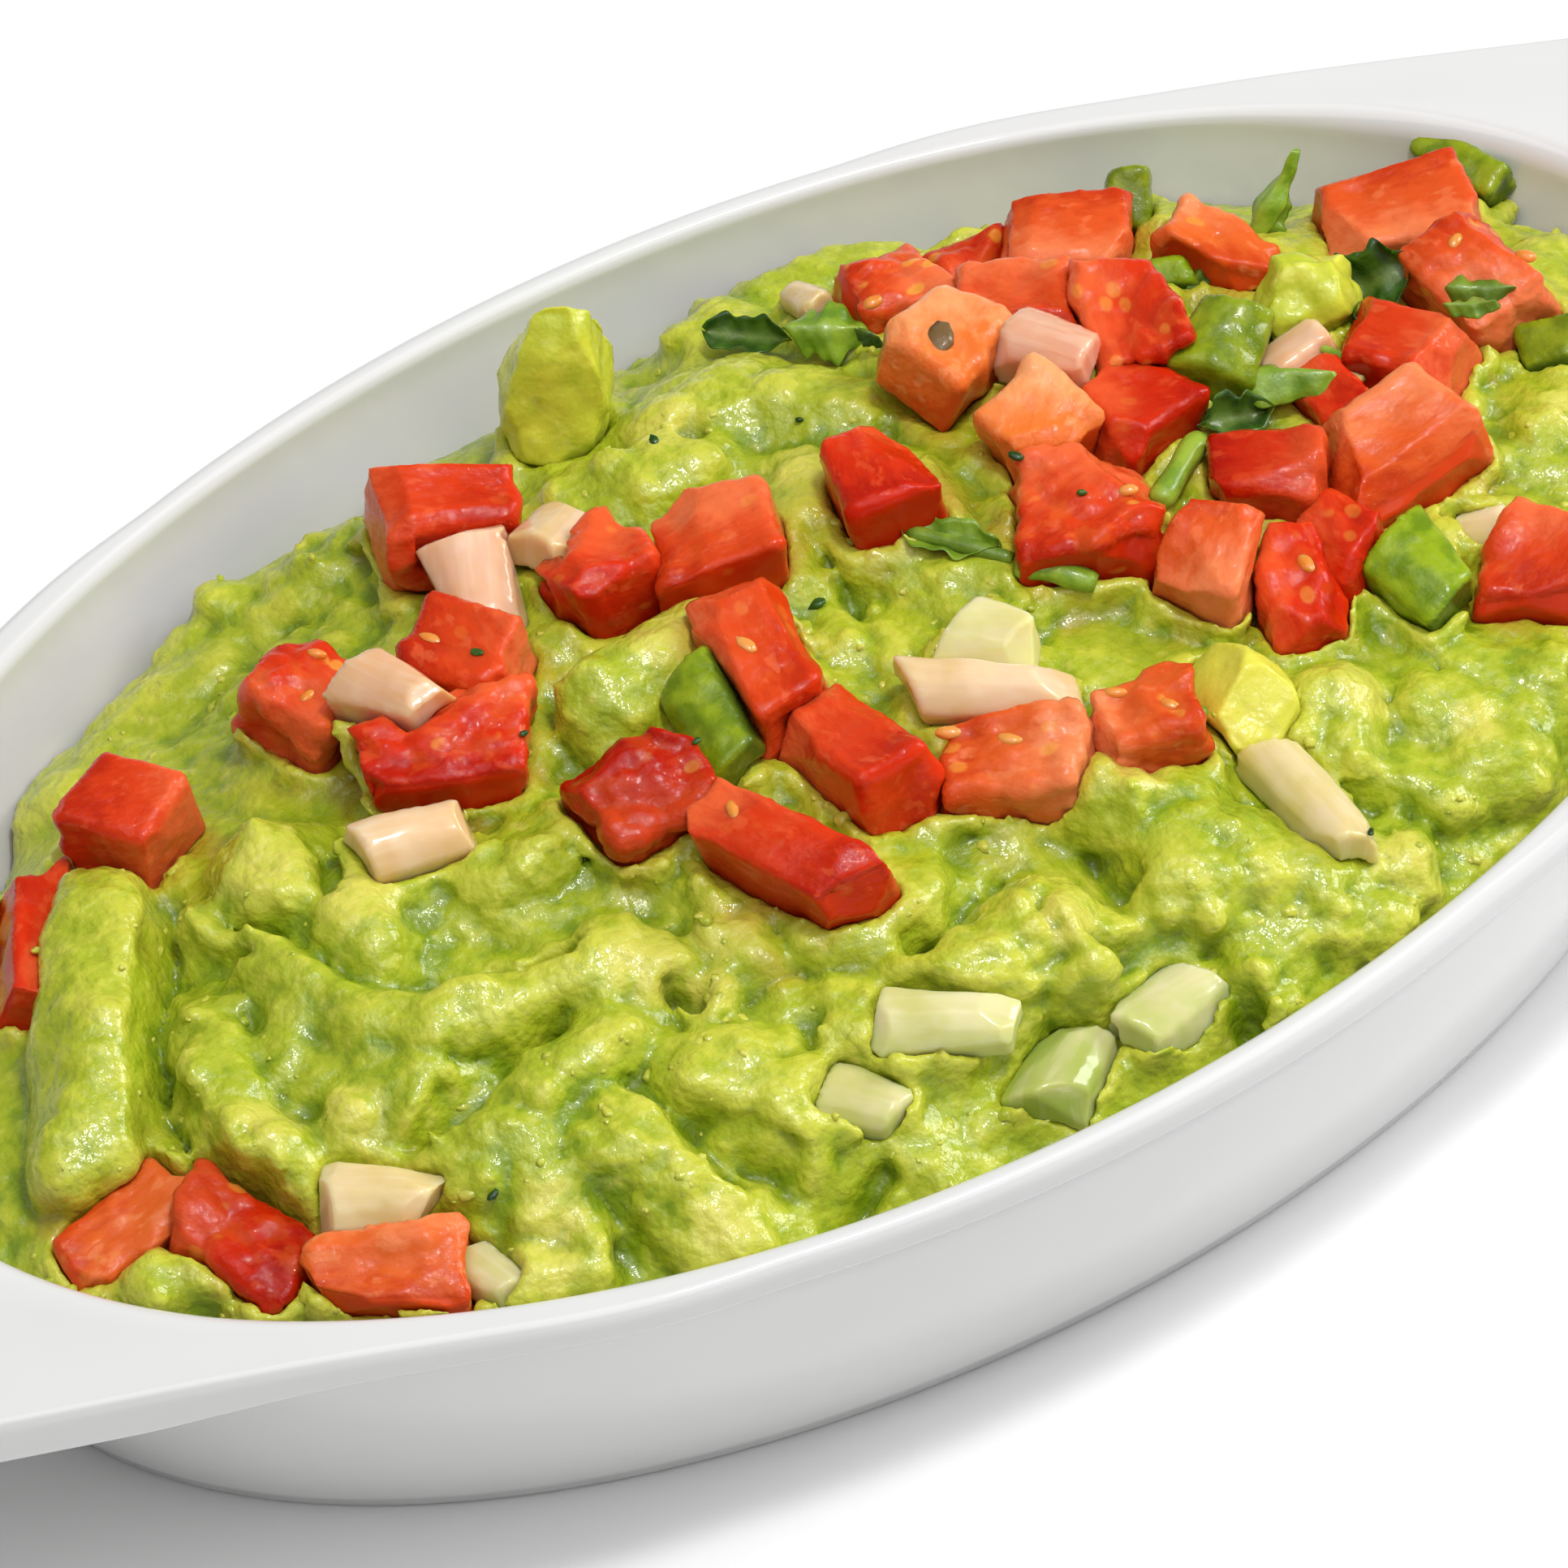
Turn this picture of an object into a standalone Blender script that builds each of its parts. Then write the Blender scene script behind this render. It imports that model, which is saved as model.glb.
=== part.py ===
"""Guacamole in an oval eared porcelain dish, topped with diced tomato, onion, green pepper and avocado.

The frame is +Z up in metres, with +X along the dish from ear to ear. The origin is under the middle of the foot.
Driving sizes are given in millimetres and multiplied by MM.
"""

import math
import random

import bmesh
import bpy
from mathutils import Vector, noise

MM = 0.001

# The dish
RIM_A = 76.1 * MM  # half the length of the lip's centre line
RIM_B = 45.4 * MM  # half its width
HEIGHT = 28.0 * MM
LIP_R = 1.15 * MM  # the lip is a bead of this radius
LIP_DEPTH = 2.8 * MM  # height of the lip's outer face
LIP_STEP = 0.6 * MM  # the wall stands this far inside the lip's outer face
FOOT_A = 68.2 * MM  # half the length and half the width of the foot
FOOT_B = 38.6 * MM
FOOT_RECESS = 1.0 * MM
WALL_BULGE = 0.9 * MM  # the outer wall swells by this much at half height
FLOOR_Z = 4.0 * MM
FLOOR_INSET = 14.0 * MM  # the flat floor ends this far inside the lip
WALL_LEAN = 0.33  # inner wall's run per unit of drop
EAR_SLOPE = 0.437  # the ears' straight sides close in by this much per unit of length
EAR_SIDE = 58.4 * MM  # where those sides would cross the Y axis
EAR_FROM = (28 * MM, 46 * MM)  # along X, the outline leaves the oval between these
EAR_TIP_X = 103.0 * MM
EAR_THICK = 4.1 * MM
EAR_ROOT = 1.9 * MM  # the ear is this much thicker where it meets the wall
EAR_DROOP = 0.07  # the ear's slope down towards its tip
EAR_SHOULDER = 1.0 * MM  # extra radius where the ear's top turns down into the opening
DISH_STEPS = 48

# The guacamole
GAP = 0.35 * MM  # clear space between touching solids
CREST = 5.8 * MM  # the heap's middle stands this far above the lip
EDGE_DROP = 7.0 * MM  # mean depth of its edge below the lip
MOUND_STEPS = 48
MOUND_RINGS = 11

# Soft folds of the heap: a line of (x, y) points in mm, then half width and height in mm
FOLDS = [
    ([(-44, 25), (-32, 30), (-21, 30)], 7.0, 2.5),
    ([(-7, 25), (5, 25), (16, 20)], 8.0, 2.5),
    ([(-53, 10), (-59, 1), (-62, -8)], 5.0, 3.5),
    ([(-47, 4), (-41, 0)], 4.0, 2.5),
    ([(-45, -3), (-40, -11), (-33, -16), (-26, -17), (-19, -17)], 4.5, 2.8),
    ([(-52, -4), (-53, -11), (-48, -17)], 5.0, 2.0),
    ([(-43, -24), (-34, -22), (-26, -22)], 4.5, 2.4),
    ([(-22, -26), (-12, -30), (-5, -31)], 4.5, 2.2),
    ([(-2, -28), (2, -32)], 5.0, 3.2),
    ([(12, -26), (16, -32), (19, -36)], 5.5, 3.4),
    ([(30, -27), (40, -29)], 6.0, 2.2),
    ([(-17, 4), (-21, -2)], 5.5, 1.5),
    ([(54, 13), (62, 4)], 6.5, 2.0),
]
# Creases between the folds, in the same form
CREASES = [
    ([(-49, 8), (-55, -3), (-58, -12)], 2.0, 2.2),
    ([(-46, -6), (-40, -18), (-33, -20)], 2.0, 1.8),
    ([(-7, -25), (0, -24), (6, -27)], 2.2, 2.0),
    ([(6, -34), (10, -38)], 2.5, 2.2),
    ([(15, -12), (20, -13)], 4.0, 1.6),
]

# Pieces that lie in the guacamole. Each row is (x, y, lift, yaw, pitch, roll, length, width, thickness):
# the centre stands lift above the heap's surface, sizes and places are in mm and turns in degrees.
TOMATOES = [
    (-14.5, 25, 1.0, -22, 8, 6, 8.5, 6.5, 6.5),
    (-46, 16, 1.0, -61, -6, 8, 7, 7, 6.5),
    (-57, 12, -0.6, 57, 0, 20, 13, 3.5, 6),
    (-30.5, 17, 0.8, -72, 10, 0, 7, 7, 6),
    (-20.5, 11.5, 1.4, -61, -12, 10, 7, 6, 5),
    (-26, 5.5, 0.8, -29, 0, 6, 11, 7, 6),
    (-8.5, 12.5, 1.2, 3, 0, -10, 6.5, 6, 6),
    (-1, 9.5, 1.6, -22, -6, 4, 8, 7, 6.5),
    (-4.5, -2, 1.8, -100, 4, 8, 10.5, 5.5, 6),
    (-3.5, -12.5, 1.2, -84, -10, 0, 10.5, 5.5, 5.5),
    (-12.5, -18.5, 1.6, -70, -6, 14, 13.5, 5, 7.5),
    (-17.5, -7, 0.8, -3, 0, 10, 8, 6.5, 5.5),
    (11.5, 7.5, 1.4, -103, -6, 6, 8.5, 6.5, 6.5),
    (6, -18, 0.6, -36, 0, 10, 9.5, 7, 6.5),
    (14.5, -21, 0.4, -9, 4, 0, 7, 5.5, 5),
    (37.5, 24.5, 1.2, -36, 6, 0, 8.5, 7, 6.5),
    (31.5, 28.5, 0.6, -22, 0, 20, 5, 4.5, 5),
    (24.5, 27, 0.8, -9, 8, 0, 6, 5.5, 5.5),
    (21.5, 16, 2.0, 29, 10, 14, 7.5, 6.5, 6.5),
    (29.5, 18.5, 1.2, -36, 0, 0, 7, 6.5, 6),
    (35, 11.5, 1.6, -107, 0, 8, 9, 6, 7),
    (30.5, 4, 0.8, 14, 6, 0, 7, 5.5, 5.5),
    (23.5, 6, 2.2, 9, -12, 12, 6.5, 6, 6),
    (21.5, -3, 1.0, -29, 0, 0, 8.5, 8, 6.5),
    (26.5, -11, 1.2, -49, 4, 6, 6, 7, 6.5),
    (31.5, -15, 0.6, -107, 8, 0, 7.5, 5, 5),
    (36, -13.5, 0.6, -82, 0, 16, 5.5, 4.5, 4.5),
    (44, -8.5, 1.8, 3, -4, 10, 10, 8, 7),
    (50, -0.5, 1.4, -55, -10, 0, 8, 6.5, 6.5),
    (59, 14, 1.2, -22, 4, 8, 10.5, 7, 5.5),
    (59, 3.5, 1.0, -87, 0, 6, 8, 6.5, 6),
    (45.5, 17, 1.2, -61, 14, 0, 7, 5, 4.5),
    (48, -21.5, 1.4, -42, 0, 6, 7, 7.5, 6.5),
    (-63.5, -11.5, 0.4, 9, -10, 10, 9.5, 5, 4.5),
    (-58, -18.5, 0.4, -70, 6, 0, 9, 6, 5.5),
    (-51.5, -26, 1.0, -36, 0, 14, 9.5, 6, 7),
    (35, -5.5, 1.0, -36, 0, 6, 7, 6, 5.5),
]
ONIONS = [
    (-16, 18, 1.6, -107, 14, 10, 8, 6, 2.8),
    (-9.5, 18, 0.8, 34, 20, 0, 6.5, 5.5, 2.6),
    (-27, 10, 3.6, -72, -12, 14, 7, 5, 2.6),
    (-32, 0, 1.4, -12, 6, 14, 8, 4.5, 2.2),
    (10, -8.5, 1.6, -49, -8, 8, 7, 6.5, 3),
    (7.5, -13, 1.6, -40, 0, 20, 12, 4, 2.4),
    (28, 11, 4.4, -61, -6, 8, 6.5, 5, 2.6),
    (21.5, -31.5, 0.8, -91, 0, -12, 10.5, 4.5, 2.4),
    (4.5, -38.5, 0.6, 14, 8, -6, 7, 5, 2.6),
    (-4, -38.5, 0.4, 34, 0, 0, 7, 5.5, 2.6),
    (-10, -33.5, 0.8, -36, 0, 14, 9.5, 4.5, 2.6),
    (-17.5, -34.5, 0.6, -55, 0, 10, 5.5, 4.8, 2.4),
    (-49.5, -22.5, 1.6, -36, 0, 16, 7.5, 5, 2.6),
]
PEPPERS = [
    (-10, -4.5, 2.0, -100, 6, 30, 8, 4.5, 3),
    (39, 6, 1.8, 34, -10, 10, 6.5, 5.5, 4.5),
    (39.5, -18.5, 1.2, -82, 8, 10, 6.5, 5.5, 3.6),
]
AVOCADO = [
    (0, 33, 2.6, 38, -34, 0, 11, 7, 8),
    (47.5, 8.5, 2.0, -3, 6, 8, 7.5, 7, 6),
    (22.5, -21.5, 0.8, -95, 0, 0, 11, 6.5, 6),
]


def new_object(name, mesh, collection, material=None):
    obj = bpy.data.objects.new(name, mesh)
    collection.objects.link(obj)
    if material:
        mesh.materials.append(material)
    return obj


def material(name, colour, roughness):
    made = bpy.data.materials.new(name)
    made.use_nodes = True
    shader = made.node_tree.nodes["Principled BSDF"]
    shader.inputs["Base Color"].default_value = (*colour, 1)
    shader.inputs["Roughness"].default_value = roughness
    shader.inputs["Metallic"].default_value = 0
    made.diffuse_color = (*colour, 1)
    return made


def angles(steps):
    """Polar angles round an oval, closer together towards its ends."""
    turns = [2 * math.pi * i / steps for i in range(steps)]
    return [math.atan2(RIM_B * math.sin(t), RIM_A * math.cos(t)) for t in turns]


def ellipse(angle, a, b):
    """Distance from the axis to an ellipse with half axes a and b."""
    return a * b / math.hypot(b * math.cos(angle), a * math.sin(angle))


def oval(angle, offset):
    """Distance from the axis to the ellipse that runs offset outside the lip's centre line."""
    return ellipse(angle, RIM_A + offset, RIM_B + offset)


def smooth_share(value, low, high):
    """0 below low, 1 above high, with a smooth ramp between."""
    share = min(1.0, max(0.0, (value - low) / (high - low)))
    return share * share * (3 - 2 * share)


def ear_outline(angle):
    """Distance from the axis to the dish's outline: the lip, then straight-sided ears that end in an arc."""
    slant = math.hypot(1, EAR_SLOPE)
    radius = (EAR_SIDE - EAR_SLOPE * EAR_TIP_X) / (slant - EAR_SLOPE)
    centre = EAR_TIP_X - radius
    c, s = abs(math.cos(angle)), abs(math.sin(angle))
    if s * (centre + radius * EAR_SLOPE / slant) < c * radius / slant:
        return centre * c + math.sqrt(max(0.0, radius**2 - (centre * s) ** 2))
    lip = oval(angle, LIP_R)
    share = smooth_share(lip * c, *EAR_FROM)
    return lip + (EAR_SIDE / (s + EAR_SLOPE * c) - lip) * share


def ear_share(angle):
    """0 on the plain lip, 1 where the ear stands well out."""
    return smooth_share(ear_outline(angle) - oval(angle, LIP_R), 0.5 * MM, 7 * MM)


def edge_z(angle):
    """Height of the outline's top edge, which droops towards the tips of the ears."""
    past = max(0.0, ear_outline(angle) * abs(math.cos(angle)) - 58 * MM)
    return HEIGHT - EAR_DROOP * past * past / (past + 10 * MM)


def point(angle, distance, z):
    return Vector((distance * math.cos(angle), distance * math.sin(angle), z))


def inner_offset(z):
    """How far the inner wall lies outside the lip's centre line at height z, which is a negative number."""
    top = HEIGHT - LIP_R
    lean = -LIP_R - WALL_LEAN * (top - z)
    share = min(1.0, max(0.0, (top - z) / (top - FLOOR_Z)))
    return lean - (FLOOR_INSET - LIP_R - WALL_LEAN * (top - FLOOR_Z)) * share**5


def skin(mesh_name, rings, start, end):
    """A closed mesh through rings of equally many points, with a fan to one point at each end."""
    built = bmesh.new()
    loops = [[built.verts.new(p) for p in ring] for ring in rings]
    for lower, upper in zip(loops, loops[1:]):
        for i in range(len(lower)):
            j = (i + 1) % len(lower)
            built.faces.new((lower[i], lower[j], upper[j], upper[i]))
    for tip, loop, turn in ((start, loops[0], -1), (end, loops[-1], 1)):
        pole = built.verts.new(tip)
        for i in range(len(loop)):
            j = (i + 1) % len(loop)
            built.faces.new((loop[i], loop[j], pole)[::turn])
    return finished(mesh_name, built)


def finished(mesh_name, built):
    """The mesh of a closed shape, in triangles that face outwards, so a Boolean meets only flat faces."""
    bmesh.ops.recalc_face_normals(built, faces=built.faces)
    bmesh.ops.triangulate(built, faces=built.faces)
    mesh = bpy.data.meshes.new(mesh_name)
    built.to_mesh(mesh)
    built.free()
    return mesh


def dish_profile(t):
    """The dish's section at polar angle t, from the foot out and up, over the lip and down to the floor."""
    ear = ear_share(t)
    line = [(0.5 * ellipse(t, FOOT_A, FOOT_B), FOOT_RECESS)]
    for inset, z in ((4 * MM, FOOT_RECESS), (3 * MM, 0), (0.5 * MM, 0)):
        line.append((ellipse(t, FOOT_A - inset, FOOT_B - inset), z))
    wall_top = HEIGHT - LIP_DEPTH - (EAR_THICK - LIP_DEPTH + EAR_ROOT) * ear
    foot, brim = ellipse(t, FOOT_A, FOOT_B), oval(t, LIP_R - LIP_STEP)
    for share in (0.05, 0.28, 0.52, 0.76, 1.0):
        climb = share * wall_top / (HEIGHT - LIP_DEPTH)
        out = (brim - foot) * climb + WALL_BULGE * math.sin(math.pi * climb)
        line.append((foot + out, share * wall_top))
    edge, top = ear_outline(t), edge_z(t)
    thick = LIP_DEPTH + (EAR_THICK - LIP_DEPTH) * ear
    line.append((edge - 0.4 * MM, top - thick))
    line.append((edge, top - thick + 0.5 * MM))
    for turn in (0, 45, 90):
        c, s = math.cos(math.radians(turn)), math.sin(math.radians(turn))
        line.append((edge - LIP_R * (1 - c), top - LIP_R * (1 - s)))
    shoulder = LIP_R + EAR_SHOULDER * ear
    wall = inner_offset(HEIGHT - shoulder)
    for turn in (30, 60, 90):
        c, s = math.cos(math.radians(turn)), math.sin(math.radians(turn))
        line.append((oval(t, wall + shoulder * (1 - s)), HEIGHT - shoulder * (1 - c)))
    for share in (0.3, 0.6, 0.82, 0.94, 1.0):
        z = HEIGHT - shoulder + (FLOOR_Z - HEIGHT + shoulder) * share
        line.append((oval(t, inner_offset(z)), z))
    line.append((0.5 * oval(t, -FLOOR_INSET), FLOOR_Z - 0.2 * MM))
    return line


def make_dish(collection):
    sections = [[point(t, *spot) for spot in dish_profile(t)] for t in angles(DISH_STEPS)]
    rings = list(zip(*sections))
    mesh = skin("dish", rings, Vector((0, 0, FOOT_RECESS)), Vector((0, 0, FLOOR_Z - 0.3 * MM)))
    glaze = material("porcelain", (0.86, 0.86, 0.85), 0.12)
    dish = new_object("dish", mesh, collection, glaze)
    mesh.shade_smooth()
    mesh.set_sharp_from_angle(angle=math.radians(50))
    return dish


def distance_to_line(x, y, line):
    """Distance in mm from a point to a line of points."""
    nearest = 1e9
    spans = zip(line, line[1:]) if len(line) > 1 else [(line[0], line[0])]
    for (x0, y0), (x1, y1) in spans:
        dx, dy = x1 - x0, y1 - y0
        along = ((x - x0) * dx + (y - y0) * dy) / max(1e-6, dx * dx + dy * dy)
        along = min(1.0, max(0.0, along))
        nearest = min(nearest, math.hypot(x - x0 - along * dx, y - y0 - along * dy))
    return nearest


def edge_height(angle):
    """Height at which the guacamole meets the dish's wall: lowest at the -X end, highest at the front."""
    drop = EDGE_DROP + 3.0 * MM * math.exp(-((math.pi - abs(angle)) ** 2) / 0.1)
    drop += 1.5 * MM * math.sin(angle)
    return HEIGHT - drop + 0.5 * MM * math.sin(5 * angle + 1)


def heap_height(x, y):
    """Height of the guacamole's surface above the table at (x, y)."""
    angle = math.atan2(y, x)
    edge = edge_height(angle)
    reach = math.hypot(x, y) / oval(angle, inner_offset(edge) - GAP)
    dome = (1 - min(1.0, reach) ** 2.4) ** 0.75
    height = edge + (HEIGHT + CREST - edge) * dome
    at = (x / MM, y / MM)
    relief = 0.0
    for line, half_width, rise in FOLDS:
        relief += rise * math.exp(-((distance_to_line(*at, line) / half_width) ** 2))
    for line, half_width, depth in CREASES:
        relief -= depth * math.exp(-((distance_to_line(*at, line) / half_width) ** 2))
    relief += 1.1 * noise.noise(Vector((at[0] / 7, at[1] / 7, 3.0)))
    fade = min(1.0, (1 - min(1.0, reach)) * 6)
    return height + relief * MM * fade


def make_heap(collection):
    """The solid guacamole: it fills the dish to its edge height and stands above it in soft folds."""
    around = angles(MOUND_STEPS)
    rings = []
    floor = FLOOR_Z + GAP
    for share in (0.0, 0.08, 0.25, 0.6, 1.0):
        ring = []
        for t in around:
            z = floor + (edge_height(t) - floor) * share
            ring.append(point(t, oval(t, inner_offset(z) - GAP), z))
        rings.append(ring)
    for k in range(1, MOUND_RINGS):
        reach = (1 - k / MOUND_RINGS) ** 0.8
        ring = []
        for t in around:
            distance = reach * oval(t, inner_offset(edge_height(t)) - GAP)
            x, y = distance * math.cos(t), distance * math.sin(t)
            ring.append(Vector((x, y, heap_height(x, y))))
        rings.append(ring)
    mesh = skin("guacamole", rings, Vector((0, 0, floor)), Vector((0, 0, heap_height(0, 0))))
    green = material("guacamole", (0.42, 0.55, 0.08), 0.4)
    heap = new_object("guacamole", mesh, collection, green)
    mesh.shade_smooth()
    return heap


def place(obj, row):
    """Stands a piece on the heap where its row says."""
    x, y, lift, yaw, pitch, roll = row[:6]
    obj.location = (x * MM, y * MM, heap_height(x * MM, y * MM) + lift * MM)
    obj.rotation_euler = [math.radians(v) for v in (roll, pitch, yaw)]


def diced(rng, size, is_cutter):
    """A knife-cut die: a block with uneven corners and slightly blunt edges."""
    built = bmesh.new()
    bmesh.ops.create_cube(built, size=1.0)
    for v in built.verts:
        uneven = Vector([rng.uniform(-0.09, 0.09) for _ in range(3)])
        v.co = Vector([c * s for c, s in zip(v.co + uneven, size)])
    if not is_cutter:
        blunt = 0.08 * min(size)
        bmesh.ops.bevel(built, geom=built.edges[:], offset=blunt, segments=1, affect="EDGES")
    return built


def curved(rng, size, is_cutter):
    """A slice of onion layer or pepper wall: a slab that bends over its width, with slanting ends."""
    built = bmesh.new()
    bmesh.ops.create_cube(built, size=1.0)
    across = [e for e in built.edges if abs(e.verts[0].co.y - e.verts[1].co.y) > 0.5]
    bmesh.ops.subdivide_edges(built, edges=across, cuts=3, use_grid_fill=True)
    slant = rng.uniform(-0.2, 0.2)
    for v in built.verts:
        x, y, z = v.co
        bend = 0.9 * (0.25 - y * y)
        taper = 1 - 0.3 * rng.random() * (x > 0)
        v.co = Vector(((x + slant * y) * size[0], y * size[1] * taper, (z + bend) * size[2]))
    return built


def lump(rng, size, is_cutter):
    """A rounded chunk of soft avocado."""
    built = bmesh.new()
    bmesh.ops.create_icosphere(built, subdivisions=2, radius=0.5)
    for v in built.verts:
        swell = 1 + 0.22 * noise.noise(v.co * 3 + Vector((rng.random() * 9, 0, 0)))
        v.co = Vector([c * s * swell for c, s in zip(v.co, size)])
    return built


def make_pieces(kind, rows, shape, look, collection, cutters):
    """One solid for each row and, in cutters, the same solid grown by GAP all round."""
    made = []
    for index, row in enumerate(rows):
        size = [s * MM for s in row[6:]]
        grown = [s + 2.4 * GAP for s in size]
        name = f"{kind}_{index + 1:02d}"
        for title, dims, target in ((name, size, collection), (name + "_cutter", grown, cutters)):
            mesh = finished(title, shape(random.Random(name), dims, target is cutters))
            obj = new_object(title, mesh, target, look)
            place(obj, row)
            if target is cutters:
                obj.hide_render = True
                obj.display_type = "WIRE"
            else:
                made.append(obj)
    return made


def apart(first, second):
    """True if the boxes of two pieces are clear of each other."""
    reach = 3 * GAP
    boxes = []
    for obj in (first, second):
        corners = [obj.matrix_basis @ v.co for v in obj.data.vertices]
        boxes.append([(min(c[i] for c in corners), max(c[i] for c in corners)) for i in range(3)])
    return any(a[0] > b[1] + reach or b[0] > a[1] + reach for a, b in zip(*boxes))


def cut(obj, cutter):
    modifier = obj.modifiers.new("round_" + cutter.name, "BOOLEAN")
    modifier.operation = "DIFFERENCE"
    modifier.object = cutter
    modifier.solver = "EXACT"


def main():
    for obj in list(bpy.data.objects):
        bpy.data.objects.remove(obj)
    parts = bpy.data.collections.new("guacamole_dish")
    cutters = bpy.data.collections.new("cutters")
    for collection in (parts, cutters):
        bpy.context.scene.collection.children.link(collection)
    make_dish(parts)
    heap = make_heap(parts)
    pieces = []
    for kind, rows, shape, look in (
        ("avocado", AVOCADO, lump, material("avocado", (0.6, 0.62, 0.12), 0.4)),
        ("tomato", TOMATOES, diced, material("tomato", (0.7, 0.08, 0.03), 0.25)),
        ("pepper", PEPPERS, curved, material("pepper", (0.1, 0.25, 0.03), 0.3)),
        ("onion", ONIONS, curved, material("onion", (0.8, 0.72, 0.6), 0.25)),
    ):
        pieces += make_pieces(kind, rows, shape, look, parts, cutters)
    for index, piece in enumerate(pieces):
        for upper in pieces[index + 1 :]:
            if not apart(piece, upper):
                cut(piece, cutters.objects[upper.name + "_cutter"])
        cut(heap, cutters.objects[piece.name + "_cutter"])


main()
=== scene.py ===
"""Guacamole in an oval eared porcelain dish, with diced tomato, onion, green pepper, avocado and cilantro.

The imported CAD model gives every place. This script makes the fine shapes and the materials. Metres, +Z up,
+X along the dish from ear to ear. Sizes in the tables are in millimetres.
"""

import math

import bmesh
import bpy
import numpy as np
import openvdb
from mathutils import Matrix, Vector


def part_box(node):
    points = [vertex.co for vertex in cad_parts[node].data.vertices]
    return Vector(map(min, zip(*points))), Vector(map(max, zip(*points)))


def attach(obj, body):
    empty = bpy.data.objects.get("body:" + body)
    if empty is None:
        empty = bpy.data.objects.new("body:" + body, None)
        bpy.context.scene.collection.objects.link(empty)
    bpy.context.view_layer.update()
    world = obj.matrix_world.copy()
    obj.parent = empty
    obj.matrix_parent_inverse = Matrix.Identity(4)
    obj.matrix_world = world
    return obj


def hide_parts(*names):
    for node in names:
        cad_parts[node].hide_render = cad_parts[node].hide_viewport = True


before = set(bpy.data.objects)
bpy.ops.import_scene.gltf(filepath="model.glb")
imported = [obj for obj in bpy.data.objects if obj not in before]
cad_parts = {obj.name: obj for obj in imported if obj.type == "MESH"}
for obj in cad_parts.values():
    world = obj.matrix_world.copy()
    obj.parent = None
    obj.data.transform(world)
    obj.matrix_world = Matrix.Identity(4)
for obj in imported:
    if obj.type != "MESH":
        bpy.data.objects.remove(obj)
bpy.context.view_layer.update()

MM = 0.001

# ---- the dish, as the CAD part has it (mm)
RIM_A, RIM_B = 76.1, 45.4  # half axes of the lip's centre line
HEIGHT = 28.0
LIP_R = 1.15  # the lip's rounding
LIP_FLAT = 0.1  # the least width of its flat top
LIP_DEPTH = 2.8
LIP_STEP = 0.6  # how far the lip overhangs the wall
FOOT_A, FOOT_B = 68.2, 38.6
FOOT_RECESS = 1.0
# The foot ring's section: how far inside its outline, and height
FOOT_RING = ((4.2, 1.0), (3.8, 0.93), (3.5, 0.5), (3.2, 0.07), (2.8, 0), (1.2, 0), (0.7, 0.05))
WALL_BULGE = 0.9
WALL_STEPS = 14
FLOOR_Z = 4.0
FLOOR_SAG = (0.2, 0.3)  # how far the floor sinks halfway in and in the middle
FLOOR_INSET = 14.0
WALL_LEAN = 0.33
EAR_SLOPE = 0.437  # of the ear's straight sides
EAR_SIDE = 58.4  # where those sides would meet the middle of the dish
EAR_FROM = (28.0, 46.0)  # the ear's side leaves the lip between these
EAR_TIP_X = 103.0
EAR_THICK = 4.1
EAR_EDGE_R = 0.6  # rounding below the ear's edge
EAR_ROOT = 1.9  # the thickening where the ear joins the wall
EAR_DROOP = 0.07
EAR_DROOP_FROM = 58
EAR_SHOULDER = 1.0
# Below the ear: share of the way out, and how much the underside bows there
EAR_UNDER = ((0.12, 0.25), (0.3, 0.5), (0.6, 0.3), (0.9, 0.06))
DISH_STEPS = 288

# ---- the guacamole (mm)
CREST = 5.4  # the heap's middle above the lip
DOME = (2.4, 0.75)  # powers that round the heap from its middle to its edge
SINK = 0.5  # the heap between its folds lies this much lower
CELL = 0.52  # spacing of its surface
GRID = ((-75.0, -45.0, 14.0), (75.0, 45.0, 41.0))  # the box in which the heap's surface is worked out
BAND = 6.0  # the surface lies within this of the heap's own level
FAR = 2.0  # distances are cut off here
NEAR_REACH = 2.4  # as are those to the toppings
SKY = 44.0  # columns over the toppings reach up to here
HIDDEN_BELOW = 15.6  # no guacamole shows below this level
SECTORS = 120  # directions in which the lowest level that shows is found
MEETS_WALL = 26.0  # the heap meets the dish's wall below this level
WALL_GAP = 0.12  # between the wall and what shows of the heap
HIDDEN_GAP = 0.35  # between the dish and the rest of the heap
# Height of the heap's edge against the wall: (direction in degrees, height)
EDGE = [
    (-180, 21.5), (-150, 23.5), (-120, 24.0), (-60, 24.0), (-30, 23.0), (0, 22.0), (15, 21.3), (30, 21.0),
    (60, 20.0), (75, 19.6), (92, 19.0), (107, 17.8), (120, 18.4), (135, 16.8), (148, 15.6), (160, 16.5),
    (170, 19.5),
]
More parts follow.
